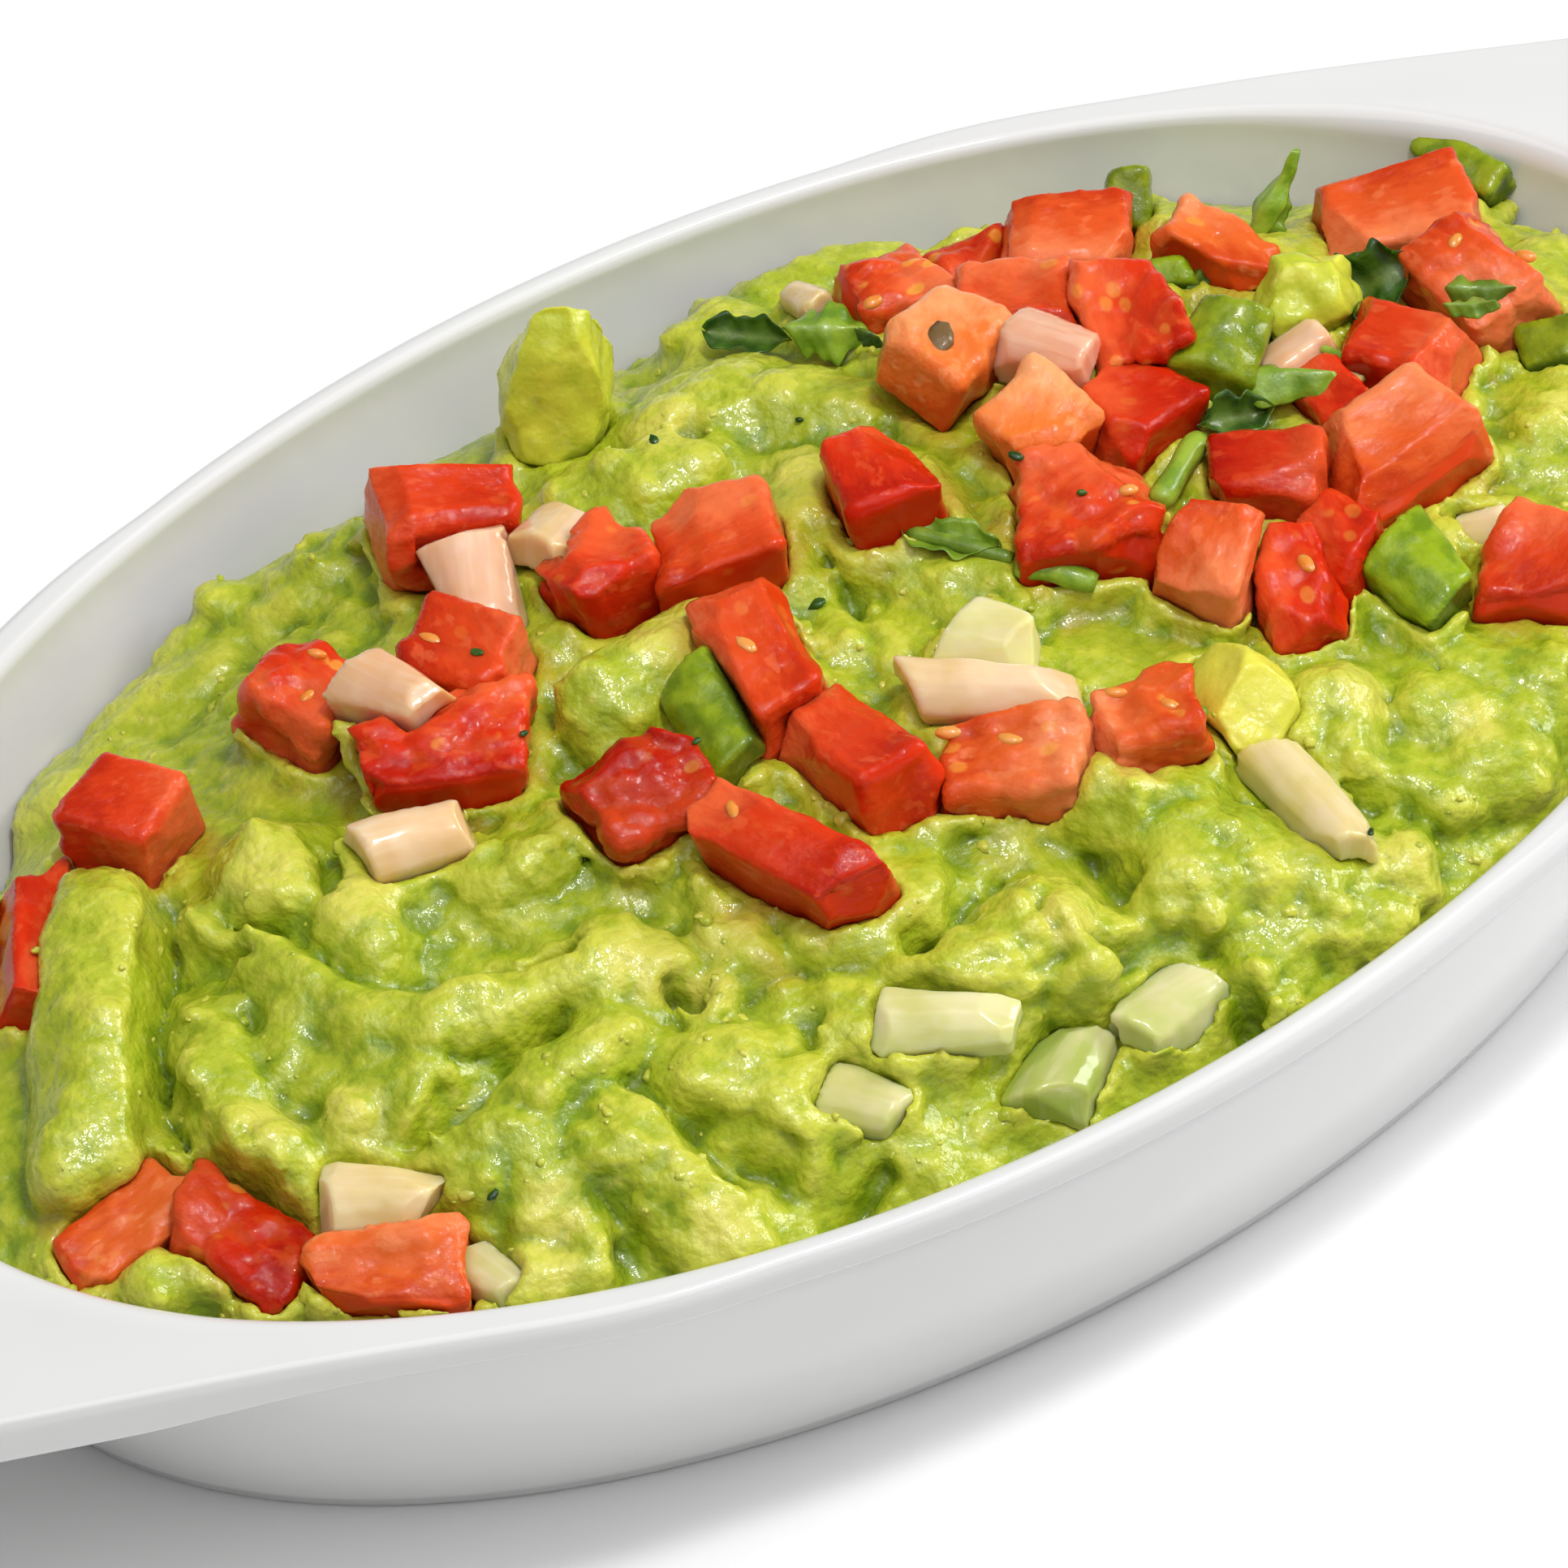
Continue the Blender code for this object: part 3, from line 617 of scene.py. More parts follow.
def closed_heap(points, quads):
    """Cuts off what the dish hides and closes the heap down to the dish's floor with a few wide faces."""
    angle, reach = out_from_middle(points[:, 0], points[:, 1])
    gap = oval(angle, inner_offset(points[:, 2])) - reach
    # the lowest level that shows beside the wall, in each direction
    sector = ((angle + np.pi) / (2 * np.pi) * SECTORS).astype(int) % SECTORS
    lowest = np.full(SECTORS, 99.0)
    shows = (gap > 0.45) & (gap < 4) & (points[:, 2] > HIDDEN_BELOW)
    np.minimum.at(lowest, sector[shows], points[shows, 2])
    lowest = np.minimum(lowest, np.minimum(np.roll(lowest, 1), np.roll(lowest, -1))) - 0.7
    under = points[:, 2] < np.maximum(lowest[sector], HIDDEN_BELOW)
    points, quads = kept_only(points, quads, ~under[quads].all(1))
    # fans of triangles close the small holes
    loops = open_edges(quads)
    triangles, extra = [], []
    for loop in loops[1:]:
        middle = len(points) + len(extra)
        extra.append(points[loop].mean(0))
        triangles += [(j, i, middle) for i, j in zip(loop, loop[1:] + loop[:1])]
    points = np.vstack([points, np.reshape(extra, (-1, 3))])
    # rings of quads lead down inside the wall
    rim = np.array(loops[0])
    at, top = out_from_middle(points[rim, 0], points[rim, 1])[0], points[rim, 2]
    base = FLOOR_Z + HIDDEN_GAP
    rings = [rim]
    for share in (0.25, 0.55, 0.8, 0.93, 1.0):
        z = top + (base - top) * share
        out = oval(at, inner_offset(z) - HIDDEN_GAP)
        rings.append(len(points) + np.arange(len(rim)))
        points = np.vstack([points, np.stack([out * np.cos(at), out * np.sin(at), z], 1)])
    sides = [np.stack([np.roll(a, -1), a, b, np.roll(b, -1)], 1) for a, b in zip(rings, rings[1:])]
    fan = np.stack([np.roll(rings[-1], -1), rings[-1], np.full(len(rim), len(points))], 1)
    points = np.vstack([points, [(0, 0, base)]])
    triangles = np.vstack([np.reshape(triangles, (-1, 3)), fan]).astype(int)
    return points, quads, np.vstack(sides), triangles


def make_heap_piece(toppings, look):
    """The heap, and the points, normals and roughness of its surface away from the wall."""
    points, quads = make_heap(toppings)
    points, quads, sides, triangles = closed_heap(relaxed(points, quads, 1, 0.4), quads)
    shown = np.zeros(len(points), bool)
    shown[np.unique(quads)] = True
    normal = outward(points, quads)
    smooth = relaxed(points, quads, 14)
    broad = relaxed(smooth, quads, 60)
    # hollow and deep: how far each point lies below the surface smoothed over a small and a wide reach; the
    # material uses them for painted shade, darker and greener in creases and hollows and a little lighter on
    # crests
    hollow, deep = dots(smooth - points, normal), dots(broad - points, normal)
    p = points.astype(np.float32)
    fine = 0.12 * layered(p, 1.1, 71, 2) + 0.09 * smooth_noise(p, 0.6, 73)
    points = points + normal * (fine * shown)[:, None]
    heap = mesh_object("guacamole_heap", points, [quads, sides, triangles], look)
    paint(heap, "juice", juice_at(points))
    for name, values in (("hollow", hollow), ("deep", deep), ("pale", pale_at(points))):
        paint(heap, name, np.where(shown, values, 0))
    angle, reach = out_from_middle(points[:, 0], points[:, 1])
    at = shown & (oval(angle, inner_offset(points[:, 2])) - reach > 1)
    rough = rough_at(p) + 0.4 * smooth_noise(p, 3.0, 49)
    return heap, points[at], normal[at], rough[at]


def facing_out(points, quads):
    """The quads of a closed body, turned so that all face outwards."""
    a, b, c, d = (points[quads[:, i]] for i in range(4))
    volume = dots(a, np.cross(b, c)).sum() + dots(a, np.cross(c, d)).sum()
    return quads[:, ::-1] if volume < 0 else quads


def pale_at(points):
    """How creamy and pale the mash is: 1 at some lumps, 0 elsewhere."""
    pale = np.zeros(len(points))
    for x, y, reach in PALE_SPOTS:
        away = np.hypot(points[:, 0] - x, points[:, 1] - y)
        pale = np.maximum(pale, 1 - ramp(away, 0.4 * reach, 1.2 * reach))
    return pale


def juice_at(points):
    """How much tomato juice stains the heap: 1 beside a tomato die, 0 away from it."""
    stain = np.zeros(len(points))
    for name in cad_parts:
        if name.startswith("tomato"):
            low, high = (np.array(c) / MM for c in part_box(name))
            middle, half = (low + high) / 2, (high - low) / 2
            away = np.linalg.norm(np.maximum(np.abs(points - middle) - half * 0.8, 0), axis=1)
            stain = np.maximum(stain, 1 - ramp(away, 0.2, 3.4))
    return stain


# ---- pieces that lie on the heap
NEIGHBOUR_REACH = 3.0  # a topping takes its neighbours into account within this distance
NEIGHBOUR_CELL = 0.7  # spacing of the points that stand for them
BATCH = 400


def node_solid(name):
    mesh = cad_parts[name].data
    points = np.empty(len(mesh.vertices) * 3, np.float32)
    mesh.vertices.foreach_get("co", points)
    mesh.calc_loop_triangles()
    triangles = np.empty(len(mesh.loop_triangles) * 3, np.int32)
    mesh.loop_triangles.foreach_get("vertices", triangles)
    return points.reshape(-1, 3).astype(float) / MM, triangles.reshape(-1, 3)


def turned(yaw, pitch, roll):
    """Rows are the length, width and thickness directions of a piece."""
    steps = zip("ZYX", (yaw, -pitch, roll))
    about_z, about_y, about_x = (Matrix.Rotation(math.radians(turn), 3, axis) for axis, turn in steps)
    return np.array(about_z @ about_y @ about_x).T


def block(x, y, z, yaw, pitch, roll, length, width, thickness):
    """A small box-shaped solid with uneven corners."""
    corners = np.array([(i, j, k) for i in (-1, 1) for j in (-1, 1) for k in (-1, 1)], float)
    uneven = hashed(int(abs(x * 10)) + 7, np.arange(24), np.arange(24), np.arange(24)).reshape(8, 3)
    corners *= (0.84 + 0.3 * uneven) * np.array([length, width, thickness]) / 2
    faces = [(0, 1, 3, 2), (4, 6, 7, 5), (0, 4, 5, 1), (2, 3, 7, 6), (0, 2, 6, 4), (1, 5, 7, 3)]
    triangles = [t for a, b, c, d in faces for t in ((a, b, c), (a, c, d))]
    return corners @ turned(yaw, pitch, roll) + np.array([x, y, z]), np.array(triangles)


def even_skin(points, triangles, cell):
    """The same solid with a skin of even small faces."""
    points, _, quads = level_set([(points, triangles)], cell, 3.0).convertToPolygons(0.0, 0.0)
    return points.astype(float), facing_out(points, quads.astype(int))


def own_axes(points):
    """Middle and axes of a piece: along it, across it and through it."""
    middle = (points.min(0) + points.max(0)) / 2
    _, _, axes = np.linalg.svd(points - points.mean(0), full_matrices=False)
    if np.linalg.det(axes) < 0:
        axes[2] *= -1
    return middle, axes


def clearance(points, others):
    """Distance from points to the nearest of some other points, looked for within a reach."""
    nearest = np.full(len(points), NEIGHBOUR_REACH)
    low, high = points.min(0) - NEIGHBOUR_REACH, points.max(0) + NEIGHBOUR_REACH
    near = others[((others > low) & (others < high)).all(1)]
    for start in range(0, len(near), BATCH):
        part = near[start : start + BATCH]
        away = ((points[:, None, :] - part[None, :, :]) ** 2).sum(2).min(1)
        nearest = np.minimum(nearest, np.sqrt(away))
    return nearest


class Heaped:
    """Pieces of one kind, gathered into one mesh. Values are numbers for the material to read."""

    def __init__(self):
        self.points, self.faces, self.parts, self.values, self.count = [], [], [], {}, 0

    def add(self, points, quads, **values):
        quads = facing_out(points, quads)
        self.parts.append((points, quads))
        self.faces.append(quads + self.count)
        self.points.append(points)
        self.count += len(points)
        for key, value in values.items():
            self.values.setdefault(key, []).append(np.broadcast_to(value, len(points)))

    def build(self, name, look):
        obj = mesh_object(name, np.vstack(self.points), [np.vstack(self.faces)], look)
        for key, value in self.values.items():
            paint(obj, key, np.concatenate(value))
        return obj


def direction(azimuth, elevation):
    """The unit vector that points there; both angles are in degrees."""
    a, e = math.radians(azimuth), math.radians(elevation)
    return np.array([math.cos(e) * math.cos(a), math.cos(e) * math.sin(a), math.sin(e)])


FRONT, BACK, LEFT, RIGHT = -118.5, 61.5, 144.0, -36.0  # azimuths of the sides

# Tomato: the CAD piece's number -> (azimuth and elevation of its skin side), tone from 0 deep red to 1 pale
# orange and below 0 darker, share of seedy pulp
TOMATO_LOOKS = {
    1: ((RIGHT, 20), 0.1, 0.1), 2: ((LEFT, 30), 0.1, 0.1), 3: ((LEFT, 0), 0.0, 0.1),
    4: ((BACK, -20), 0.05, 0.9), 5: ((LEFT, 10), 0.15, 0.2), 6: ((FRONT, -10), -0.05, 0.6),
    7: ((FRONT, -30), 0.0, 0.3), 8: ((FRONT, -20), 0.2, 0.3), 9: ((RIGHT, 30), 0.2, 0.2),
    10: ((RIGHT, 30), 0.1, 0.1), 11: ((FRONT, 0), 0.05, 0.1), 12: ((BACK, 0), -0.55, 1.0),
    13: ((FRONT, 30), -0.05, 0.05), 14: ((LEFT, 0), 0.5, 0.6), 15: ((RIGHT, 0), 0.45, 0.8),
    16: ((BACK, 0), 0.35, 0.1), 17: ((BACK, 0), -0.25, 1.0), 18: ((LEFT, 0), 0.2, 1.0),
    19: ((FRONT, -40), 0.85, 0.2), 20: ((FRONT, -10), 0.2, 0.5), 21: ((RIGHT, 10), 0.05, 0.5),
    22: ((RIGHT, 0), -0.25, 0.2), 23: ((FRONT, -30), 0.95, 0.05), 24: ((FRONT, -20), 0.1, 0.9),
    25: ((BACK, 0), 0.4, 0.1), 26: ((RIGHT, 0), -0.05, 0.5), 27: ((RIGHT, 0), 0.0, 0.4),
    28: ((FRONT, -20), 0.45, 0.05), 29: ((LEFT, 0), 0.1, 0.1), 30: ((BACK, 20), 0.35, 0.1),
    31: ((BACK, 0), 0.3, 0.8), 32: ((FRONT, 0), 0.6, 0.7), 33: ((FRONT, 0), 0.15, 0.1),
    34: ((LEFT, 30), 0.6, 0.3), 35: ((RIGHT, 0), -0.3, 0.8), 36: ((FRONT, 0), 0.6, 0.05),
    37: ((LEFT, 0), -0.3, 0.2),
}
# Onion: the CAD piece's number -> how pink, how green and how clear it is
ONION_LOOKS = {
    1: (0.8, 0.0, 0.3), 2: (0.6, 0.0, 0.9), 3: (0.8, 0.0, 0.9), 4: (0.6, 0.0, 0.9), 5: (0.0, 0.05, 0.0),
    6: (0.5, 0.0, 0.1), 7: (1.0, 0.0, 0.9), 8: (0.3, 0.2, 0.8), 9: (0.0, 0.6, 0.4), 10: (0.0, 1.0, 0.9),
    11: (0.0, 0.4, 0.2), 12: (0.1, 0.6, 1.0), 13: (0.4, 0.1, 0.6),
}
FAN = ONION_LOOKS[5]  # the fan-shaped slice, known by its looks
# Green pepper: the CAD piece's number -> (azimuth and elevation of its skin side), brightness
PEPPER_LOOKS = {1: ((RIGHT, 20), 0.55), 2: ((LEFT, 0), 0.35), 3: ((-100, -30), 0.8)}
# Avocado: the CAD piece's number -> coarseness, ripeness, how far the tip of a piece on end rises, and the
# flat cuts that shape it, each the way it faces and its distance from the middle
AVOCADO_LOOKS = {
    1: (0.5, 0.35, 3.4, [
        (LEFT, 27, 3.5), (RIGHT, 10, 3.2), (FRONT, 20, 3.1), (BACK, 20, 2.9), (LEFT - 45, 15, 3.9),
    ]),
    2: (1.0, 0.3, 0, [(FRONT, 50, 1.7), (RIGHT, 30, 2.0), (LEFT, 25, 2.4), (BACK, 55, 2.1), (-80, -10, 2.4)]),
    3: (0.25, 0.9, 0, [(LEFT, 50, 2.0), (-100, 60, 2.2)]),
}
LOOKS = {"tomato": TOMATO_LOOKS, "onion": ONION_LOOKS, "pepper": PEPPER_LOOKS, "avocado": AVOCADO_LOOKS}
# Pieces too small for a CAD solid: x, y, z, yaw, pitch, roll, length, width, thickness, then looks as above
SMALL_TOMATOES = [(43.4, -0.6, 31.9, -91, 0, 10, 5.6, 3.2, 3.2, (RIGHT, 0), 0.0, 0.3)]
SMALL_ONIONS = [
    (43.8, 4.2, 32.0, -3, 12, -20, 5.6, 3.4, 1.7, 0.9, 0.0, 0.5),
    (-45.6, -30.6, 25.8, -82, 0, 0, 5, 2.8, 2.2, 0.2, 0.5, 0.8),
    (19.3, 30.6, 30.0, -87, 30, 0, 4.6, 2.2, 1.4, 0.6, 0.2, 0.7),
    (46.2, -15.9, 29.6, -36, 20, 0, 3.6, 3.4, 1.6, 0.5, 0.2, 0.4),
    (45.3, 0.2, 32.0, -60, 20, 0, 3.2, 1.1, 0.9, 0.2, 0.5, 0.2),
]
SMALL_PEPPERS = [
    (44.0, 26.3, 28.6, 58, 30, 0, 4.4, 2.9, 2.6, (FRONT, -20), 0.2),
    (67.4, 18.0, 25.0, -75, 0, 20, 7.2, 2.2, 3.0, (FRONT, -20), 0.35),
    (60.6, -3.4, 29.0, -36, 20, 10, 4.2, 3.6, 2.2, (FRONT, -20), 0.2),
    (40.6, 17.2, 31.0, -30, 10, 25, 4.6, 2.0, 1.0, (FRONT, -20), 0.9),
    (17.3, -22.2, 35.4, -70, 0, 30, 3.0, 1.1, 0.8, (FRONT, -20), 0.1),
]


def gathered_solids():
    """Every topping as (kind, looks, solid, triangles)."""
    found = []
    for name in sorted(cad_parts):
        kind, _, number = name.partition("_")
        if kind in LOOKS:
            found.append((kind, LOOKS[kind][int(number)], *node_solid(name)))
    for kind, rows in (("tomato", SMALL_TOMATOES), ("onion", SMALL_ONIONS), ("pepper", SMALL_PEPPERS)):
        found += [(kind, row[9:], *block(*row[:9])) for row in rows]
    return found


class Topping:
    """One piece that lies on the heap, while it is being shaped from its solid."""

    def __init__(self, number, solid, triangles, others, cell):
        self.number, self.others = number, others
        self.middle, self.axes = own_axes(solid)
        self.points, self.quads = even_skin(solid, triangles, cell)
        self.find_faces()

    def find_faces(self):
        self.face = outward(relaxed(self.points, self.quads, 2), self.quads)

    def local(self):
        """The points along, across and through the piece."""
        return (self.points - self.middle) @ self.axes.T

    def place(self):
        """Values by which a material follows the piece."""
        along, across, through = self.local().T
        return {"along": along, "across": across, "through": through, "which": self.number * 3.7}

    def skin_side(self, towards, low, high):
        """1 on the side that faces towards a direction, 0 elsewhere."""
        return ramp(relaxed(self.face, self.quads, 2) @ towards, low, high)

    def smooth(self):
        self.points = relaxed(self.points, self.quads, 1)

    def warp(self, amount):
        """Tapers the piece along and across, by shares that differ from piece to piece."""
        local = self.local()
        share = local / np.abs(local).max(0)
        four = np.arange(4)
        tips = 2 * hashed(self.number + 91, four, four, four) - 1
        for tip, (axis, by) in zip(tips, ((1, 0), (2, 0), (0, 1), (2, 1))):
            local[:, axis] *= 1 + amount * tip * share[:, by]
        self.points = local @ self.axes + self.middle

    def cut(self, away, stop):
        """A flat cut that faces away, at a distance from the middle."""
        past = np.maximum(0, (self.points - self.middle) @ away - stop)
        self.points = self.points - np.outer(past, away)

    def cut_askew(self, cuts, least):
        """Slanting knife cuts that take a little off corners and edges."""
        steps = np.arange(3 * cuts)
        shares = hashed(self.number + 301, steps, steps + 5, steps + 9).astype(float)
        for a, b, c in shares.reshape(cuts, 3):
            away = direction(360 * a, 100 * b - 30)
            reach = ((self.points - self.middle) @ away).max()
            self.cut(away, (least + (0.97 - least) * c) * reach)

    def noise_points(self, step):
        """Where the piece reads its noise; step keeps pieces of one kind unlike each other."""
        return (self.points + step * self.number).astype(np.float32)

    def edges(self, rounds):
        """How far each point stands out from a smoothed piece."""
        return dots(self.points - relaxed(self.points, self.quads, rounds), self.face)

    def room(self):
        """Half the gap to the nearest neighbour, less a margin."""
        return (clearance(self.points, self.others) - 0.1) / 2

    def swell(self, amount):
        self.points = self.points + self.face * amount[:, None]


def shape_tomato(piece, side, tone, pulp):
    piece.smooth()
    piece.warp(0.13)
    piece.cut_askew(5, 0.74)
    p = piece.noise_points(50)
    towards = direction(*side)
    skin = piece.skin_side(towards, 0.62, 0.8)
    depth = (piece.points - piece.middle) @ towards
    depth = 1 - (depth - depth.min()) / np.ptp(depth)
    rough = 0.24 * smooth_noise(p, 4.2, 81) + 0.10 * smooth_noise(p, 1.8, 82)
    rough += (1 - skin) * (0.12 * layered(p, 1.5, 83, 2) + 0.04 * smooth_noise(p, 0.7, 84))
    rough += pulp * (1 - skin) * (0.8 * lumps(p, 2.7, 85) + 0.35 * lumps(p, 1.2, 87) - 0.4)
    gap = clearance(piece.points, piece.others)
    grow = np.minimum((gap - 0.1) / 2, 0.25 + 0.65 * (1 - ramp(gap, 1.5, 3.0)))
    spoke = piece.points - piece.middle
    spoke /= np.linalg.norm(spoke, axis=1).mean()
    piece.swell(rough * np.clip(grow + 0.6, 0, 1) + 1.2 * piece.edges(4))
    piece.points = piece.points + spoke * grow[:, None]
    return {"skin": skin, "tone": tone, "pulp": pulp, "depth": depth, **piece.place()}


def shape_onion(piece, pink, green, clear):
    """A bowed slice."""
    piece.smooth()
    piece.warp(0.2)
    piece.find_faces()
    place, half = piece.place(), np.abs(piece.local()).max(0)
    place["through"] = place["through"] / half[2]
    bow = 0.2 - 0.5 * (place["across"] / half[1]) ** 2
    piece.points = piece.points + np.outer(bow, piece.axes[2] * np.sign(piece.axes[2, 2]))
    piece.cut_askew(4, 0.78)
    if (pink, green, clear) == FAN:
        for azimuth in (BACK - 48, BACK + 48):
            piece.cut(direction(azimuth, 0), 1.9)
    p = piece.noise_points(37)
    rough = 0.12 * smooth_noise(p, 3.0, 91) + 0.03 * smooth_noise(p, 1.0, 93)
    piece.swell(rough + 0.4 * piece.edges(4) + np.minimum(0.15, piece.room()))
    return {"pink": pink, "green": green, "clear": clear, **place}


def shape_pepper(piece, side, bright):
    """Green pepper, with its dark skin on one side."""
    skin = piece.skin_side(direction(*side), 0.5, 0.75)
    piece.smooth()
    piece.warp(0.15)
    p = piece.noise_points(31)
    rough = (1 - skin) * (0.16 * smooth_noise(p, 2.6, 91) + 0.08 * smooth_noise(p, 1.0, 93))
    piece.swell(rough + 0.4 * piece.edges(4) + np.minimum(0.25, piece.room()))
    return {"skin": skin, "bright": bright, **piece.place()}


def shape_avocado(piece, coarse, ripe, rise, cuts):
    """An unmashed chunk: a soft, lumpy wedge."""
    piece.smooth()
    piece.cut_askew(4, 0.72)
    height = piece.points[:, 2]
    piece.points[:, 2] += rise * ((height - height.min()) / np.ptp(height)) ** 1.5
    for azimuth, elevation, stop in cuts:
        piece.cut(direction(azimuth, elevation), stop)
    p = piece.noise_points(37)
    rough = 0.45 * smooth_noise(p, 4.6, 91)
    rough += coarse * (0.95 * lumps(p, 3.0, 93) + 0.35 * lumps(p, 1.4, 95) - 0.5)
    grow = np.minimum(0.5, piece.room())
    piece.swell(rough * np.clip(grow + 0.5, 0, 1) + 1.1 * piece.edges(6) + grow)
    return {"ripe": ripe}


MAKERS = {
    "tomato": ("tomato_dice", shape_tomato, 0.5, 0.37),
    "onion": ("onion_slices", shape_onion, 0.4, 0.28),
    "pepper": ("pepper_slices", shape_pepper, 0.4, 0.28),
    "avocado": ("avocado_chunks", shape_avocado, 0.5, 0.34),
}


def make_toppings(kind, solids, samples, look):
    """Every topping of a kind as one piece, and its parts; samples are points of all the other toppings."""
    name, shape, quick, fine = MAKERS[kind]
    heaped = Heaped()
    for number, ((its_kind, looks, solid, triangles), others) in enumerate(zip(solids, samples)):
        if its_kind == kind:
            piece = Topping(number, solid, triangles, others, fine)
            values = shape(piece, *looks)
            heaped.add(piece.points, piece.quads, **values)
    return heaped.build(name, look), heaped.parts


# ---- cilantro, seeds and loose grains
# Leaf: x, y, z, yaw, pitch, roll, length, width, cupping, tone 0 dark to 1 bright
LEAVES = [
    (14.4, 30.6, 29.6, -50, 8, 30, 6.5, 2.8, -0.5, 0.1), (17.8, 26.2, 31.7, -36, 4, 20, 5.2, 4.0, 0.5, 0.75),
    (19.6, 22.6, 32.8, -60, 0, 0, 2.0, 1.1, 0.3, 0.05), (51.2, 18.4, 29.6, 20, 35, 0, 4.0, 2.0, 0.5, 0.5),
    (53.6, 7.4, 31.4, -20, 18, 25, 6.8, 4.6, -0.8, 0.05), (49.6, 4.2, 31.2, 60, 10, 40, 5.6, 2.6, -0.6, 0.0),
    (57.8, 1.2, 32.6, -36, 0, 20, 5.0, 3.0, 0.6, 0.45), (55.0, -1.6, 35.2, -36, 6, 10, 3.8, 1.6, 0.3, 0.6),
    (40.0, 1.9, 33.8, -36, 0, -12, 9.4, 3.4, 0.7, 0.85), (36.2, 0.6, 33.4, -10, -10, 30, 5.4, 3.2, -0.7, 0.1),
    (33.2, 1.9, 32.8, -60, -30, 30, 3.4, 2.0, -0.4, 0.05), (43.2, 15.8, 30.8, 30, 0, 0, 3.2, 2.0, 0.3, 0.1),
    (13.2, 0.8, 34.9, -46, -6, 10, 7.2, 2.9, -0.5, 0.7), (50.8, 18.6, 30.6, 13, 43, 0, 9.4, 1.9, 0.3, 0.95),
]
# Stem: its line of (x, y, z), radius, tone
STEMS = [
    ([(27.2, -3.6, 33.8), (30.2, -1.8, 34.0), (33.2, 0.2, 33.6)], 0.95, 0.95),
    ([(15.4, -3.6, 34.9), (17.4, -5.6, 34.9), (19.3, -7.8, 34.3)], 0.95, 0.95),
    ([(11.0, 3.6, 34.9), (13.4, 0.2, 35.0), (15.6, -2.8, 34.8)], 0.6, 0.5),
    ([(45.2, 3.0, 33.0), (46.2, 0.4, 33.2)], 0.4, 0.9),
]
# Fleck of herb, or of the dried flower end of a tomato: x, y, size, tone, which is below 0 where it is brown
FLECKS = [
    (2.7, 2.8, 0.9, 0), (-43.1, -27.6, 0.7, 0), (1.8, 22.8, 0.6, 0), (19.6, 2.6, 0.8, 0),
    (21.4, -3.1, 0.6, 0.1), (-21.9, 1.6, 0.5, 0), (22.8, -37.0, 0.5, 0), (-20.8, 9.6, 0.8, 0.1),
    (11.6, 19.0, 0.5, 0), (-13.0, -7.0, 0.5, 0), (21.2, 14.7, 1.8, -0.6), (21.5, 15.0, 0.7, 0.3),
    (20.9, 14.5, 0.5, 0.0),
]
# Seed: x, y, yaw, length, width, tone 0 pale to 1 orange
SEEDS = [
    (-5.9, -2.0, -70, 2.4, 1.4, 0.2), (-14.4, -13.9, -100, 2.6, 1.1, 0.7), (32.2, -15.0, -95, 2.3, 1.3, 0.9),
    (-22.4, 13.2, -60, 2.4, 1.3, 0.7), (13.8, -18.6, -36, 2.5, 1.2, 0.9), (5.6, -18.0, -36, 2.4, 1.4, 0.5),
    (2.6, -14.8, -30, 2.2, 1.3, 0.4), (62.0, 1.8, -60, 2.0, 1.2, 0.6), (-29.0, 18.0, -40, 2.0, 1.1, 0.9),
    (24.4, -4.4, -20, 1.8, 1.1, 0.4), (16.2, -22.0, -60, 2.0, 1.1, 0.8), (-31.5, 15.2, 20, 2.0, 1.1, 0.8),
    (22.0, 25.6, 10, 2.0, 1.2, 0.8), (58.4, 5.4, 30, 1.9, 1.1, 0.7),
]
GRAINS = 600
GRAIN_SHAPES = 12


def leaf(x, y, z, yaw, pitch, roll, length, width, cup, tone, number):
    """Points, faces and values of a thin lobed blade, closed all round."""
    n, m = ((29, 11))
    u, v = np.meshgrid(np.linspace(0, 1, n), np.linspace(-1, 1, m), indexing="ij")
    lobes = 1 + 0.2 * np.sin(u * (11 + number % 5) + number) + 0.1 * np.sin(u * 27 + 2 * v)
    half = width / 2 * (0.06 + np.sin(np.pi * u**0.8) ** 0.7) * lobes
    flat = np.stack([(u - 0.5) * length + 0.25 * width * np.abs(v) * np.sin(number), v * half], 2)
    p = np.concatenate([flat, np.full((n, m, 1), number * 7.0)], 2).reshape(-1, 3).astype(np.float32)
    u, v = u.ravel(), v.ravel()
    rise = cup * (1 - 2 * v**2) + 0.45 * smooth_noise(p, 2.2, 101) + 0.1 * np.cos(5 * v) * (cup > 0)
    rise -= 0.14 * cup * (2 * u - 1) ** 2 * length / 3
    thick = 0.16 * (1 - 0.5 * np.abs(v))
    sides = [np.column_stack([p[:, :2], rise + sign * thick]) @ turned(yaw, pitch, roll) for sign in (1, -1)]
    points = np.vstack(sides) + np.array([x, y, z])
    top = grid_quads(n, m)
    grid = np.arange(n * m).reshape(n, m)
    ring = np.concatenate([grid[0], grid[1:, -1], grid[-1, -2::-1], grid[-2:0:-1, 0]])
    after = np.roll(ring, -1)
    rim = np.stack([ring, after, after + n * m, ring + n * m], 1)
    faces = np.vstack([top, top[:, ::-1] + n * m, rim])
    return points, faces, tone, np.tile(np.exp(-(v * 4) ** 2), 2)


def tube_faces(rings, around):
    """Quads of a tube of rings of points, closed by a tip at each end; the two tips are the last points."""
    faces = [grid_quads(rings, around, "columns")[:, [0, 3, 2, 1]]]
    last, tip = (rings - 1) * around, rings * around
    for k in range(0, around, 2):
        k1, k2 = k + 1, (k + 2) % around
        faces.append([(k2, k1, k, tip), (tip + 1, last + k, last + k1, last + k2)])
    return np.vstack(faces)


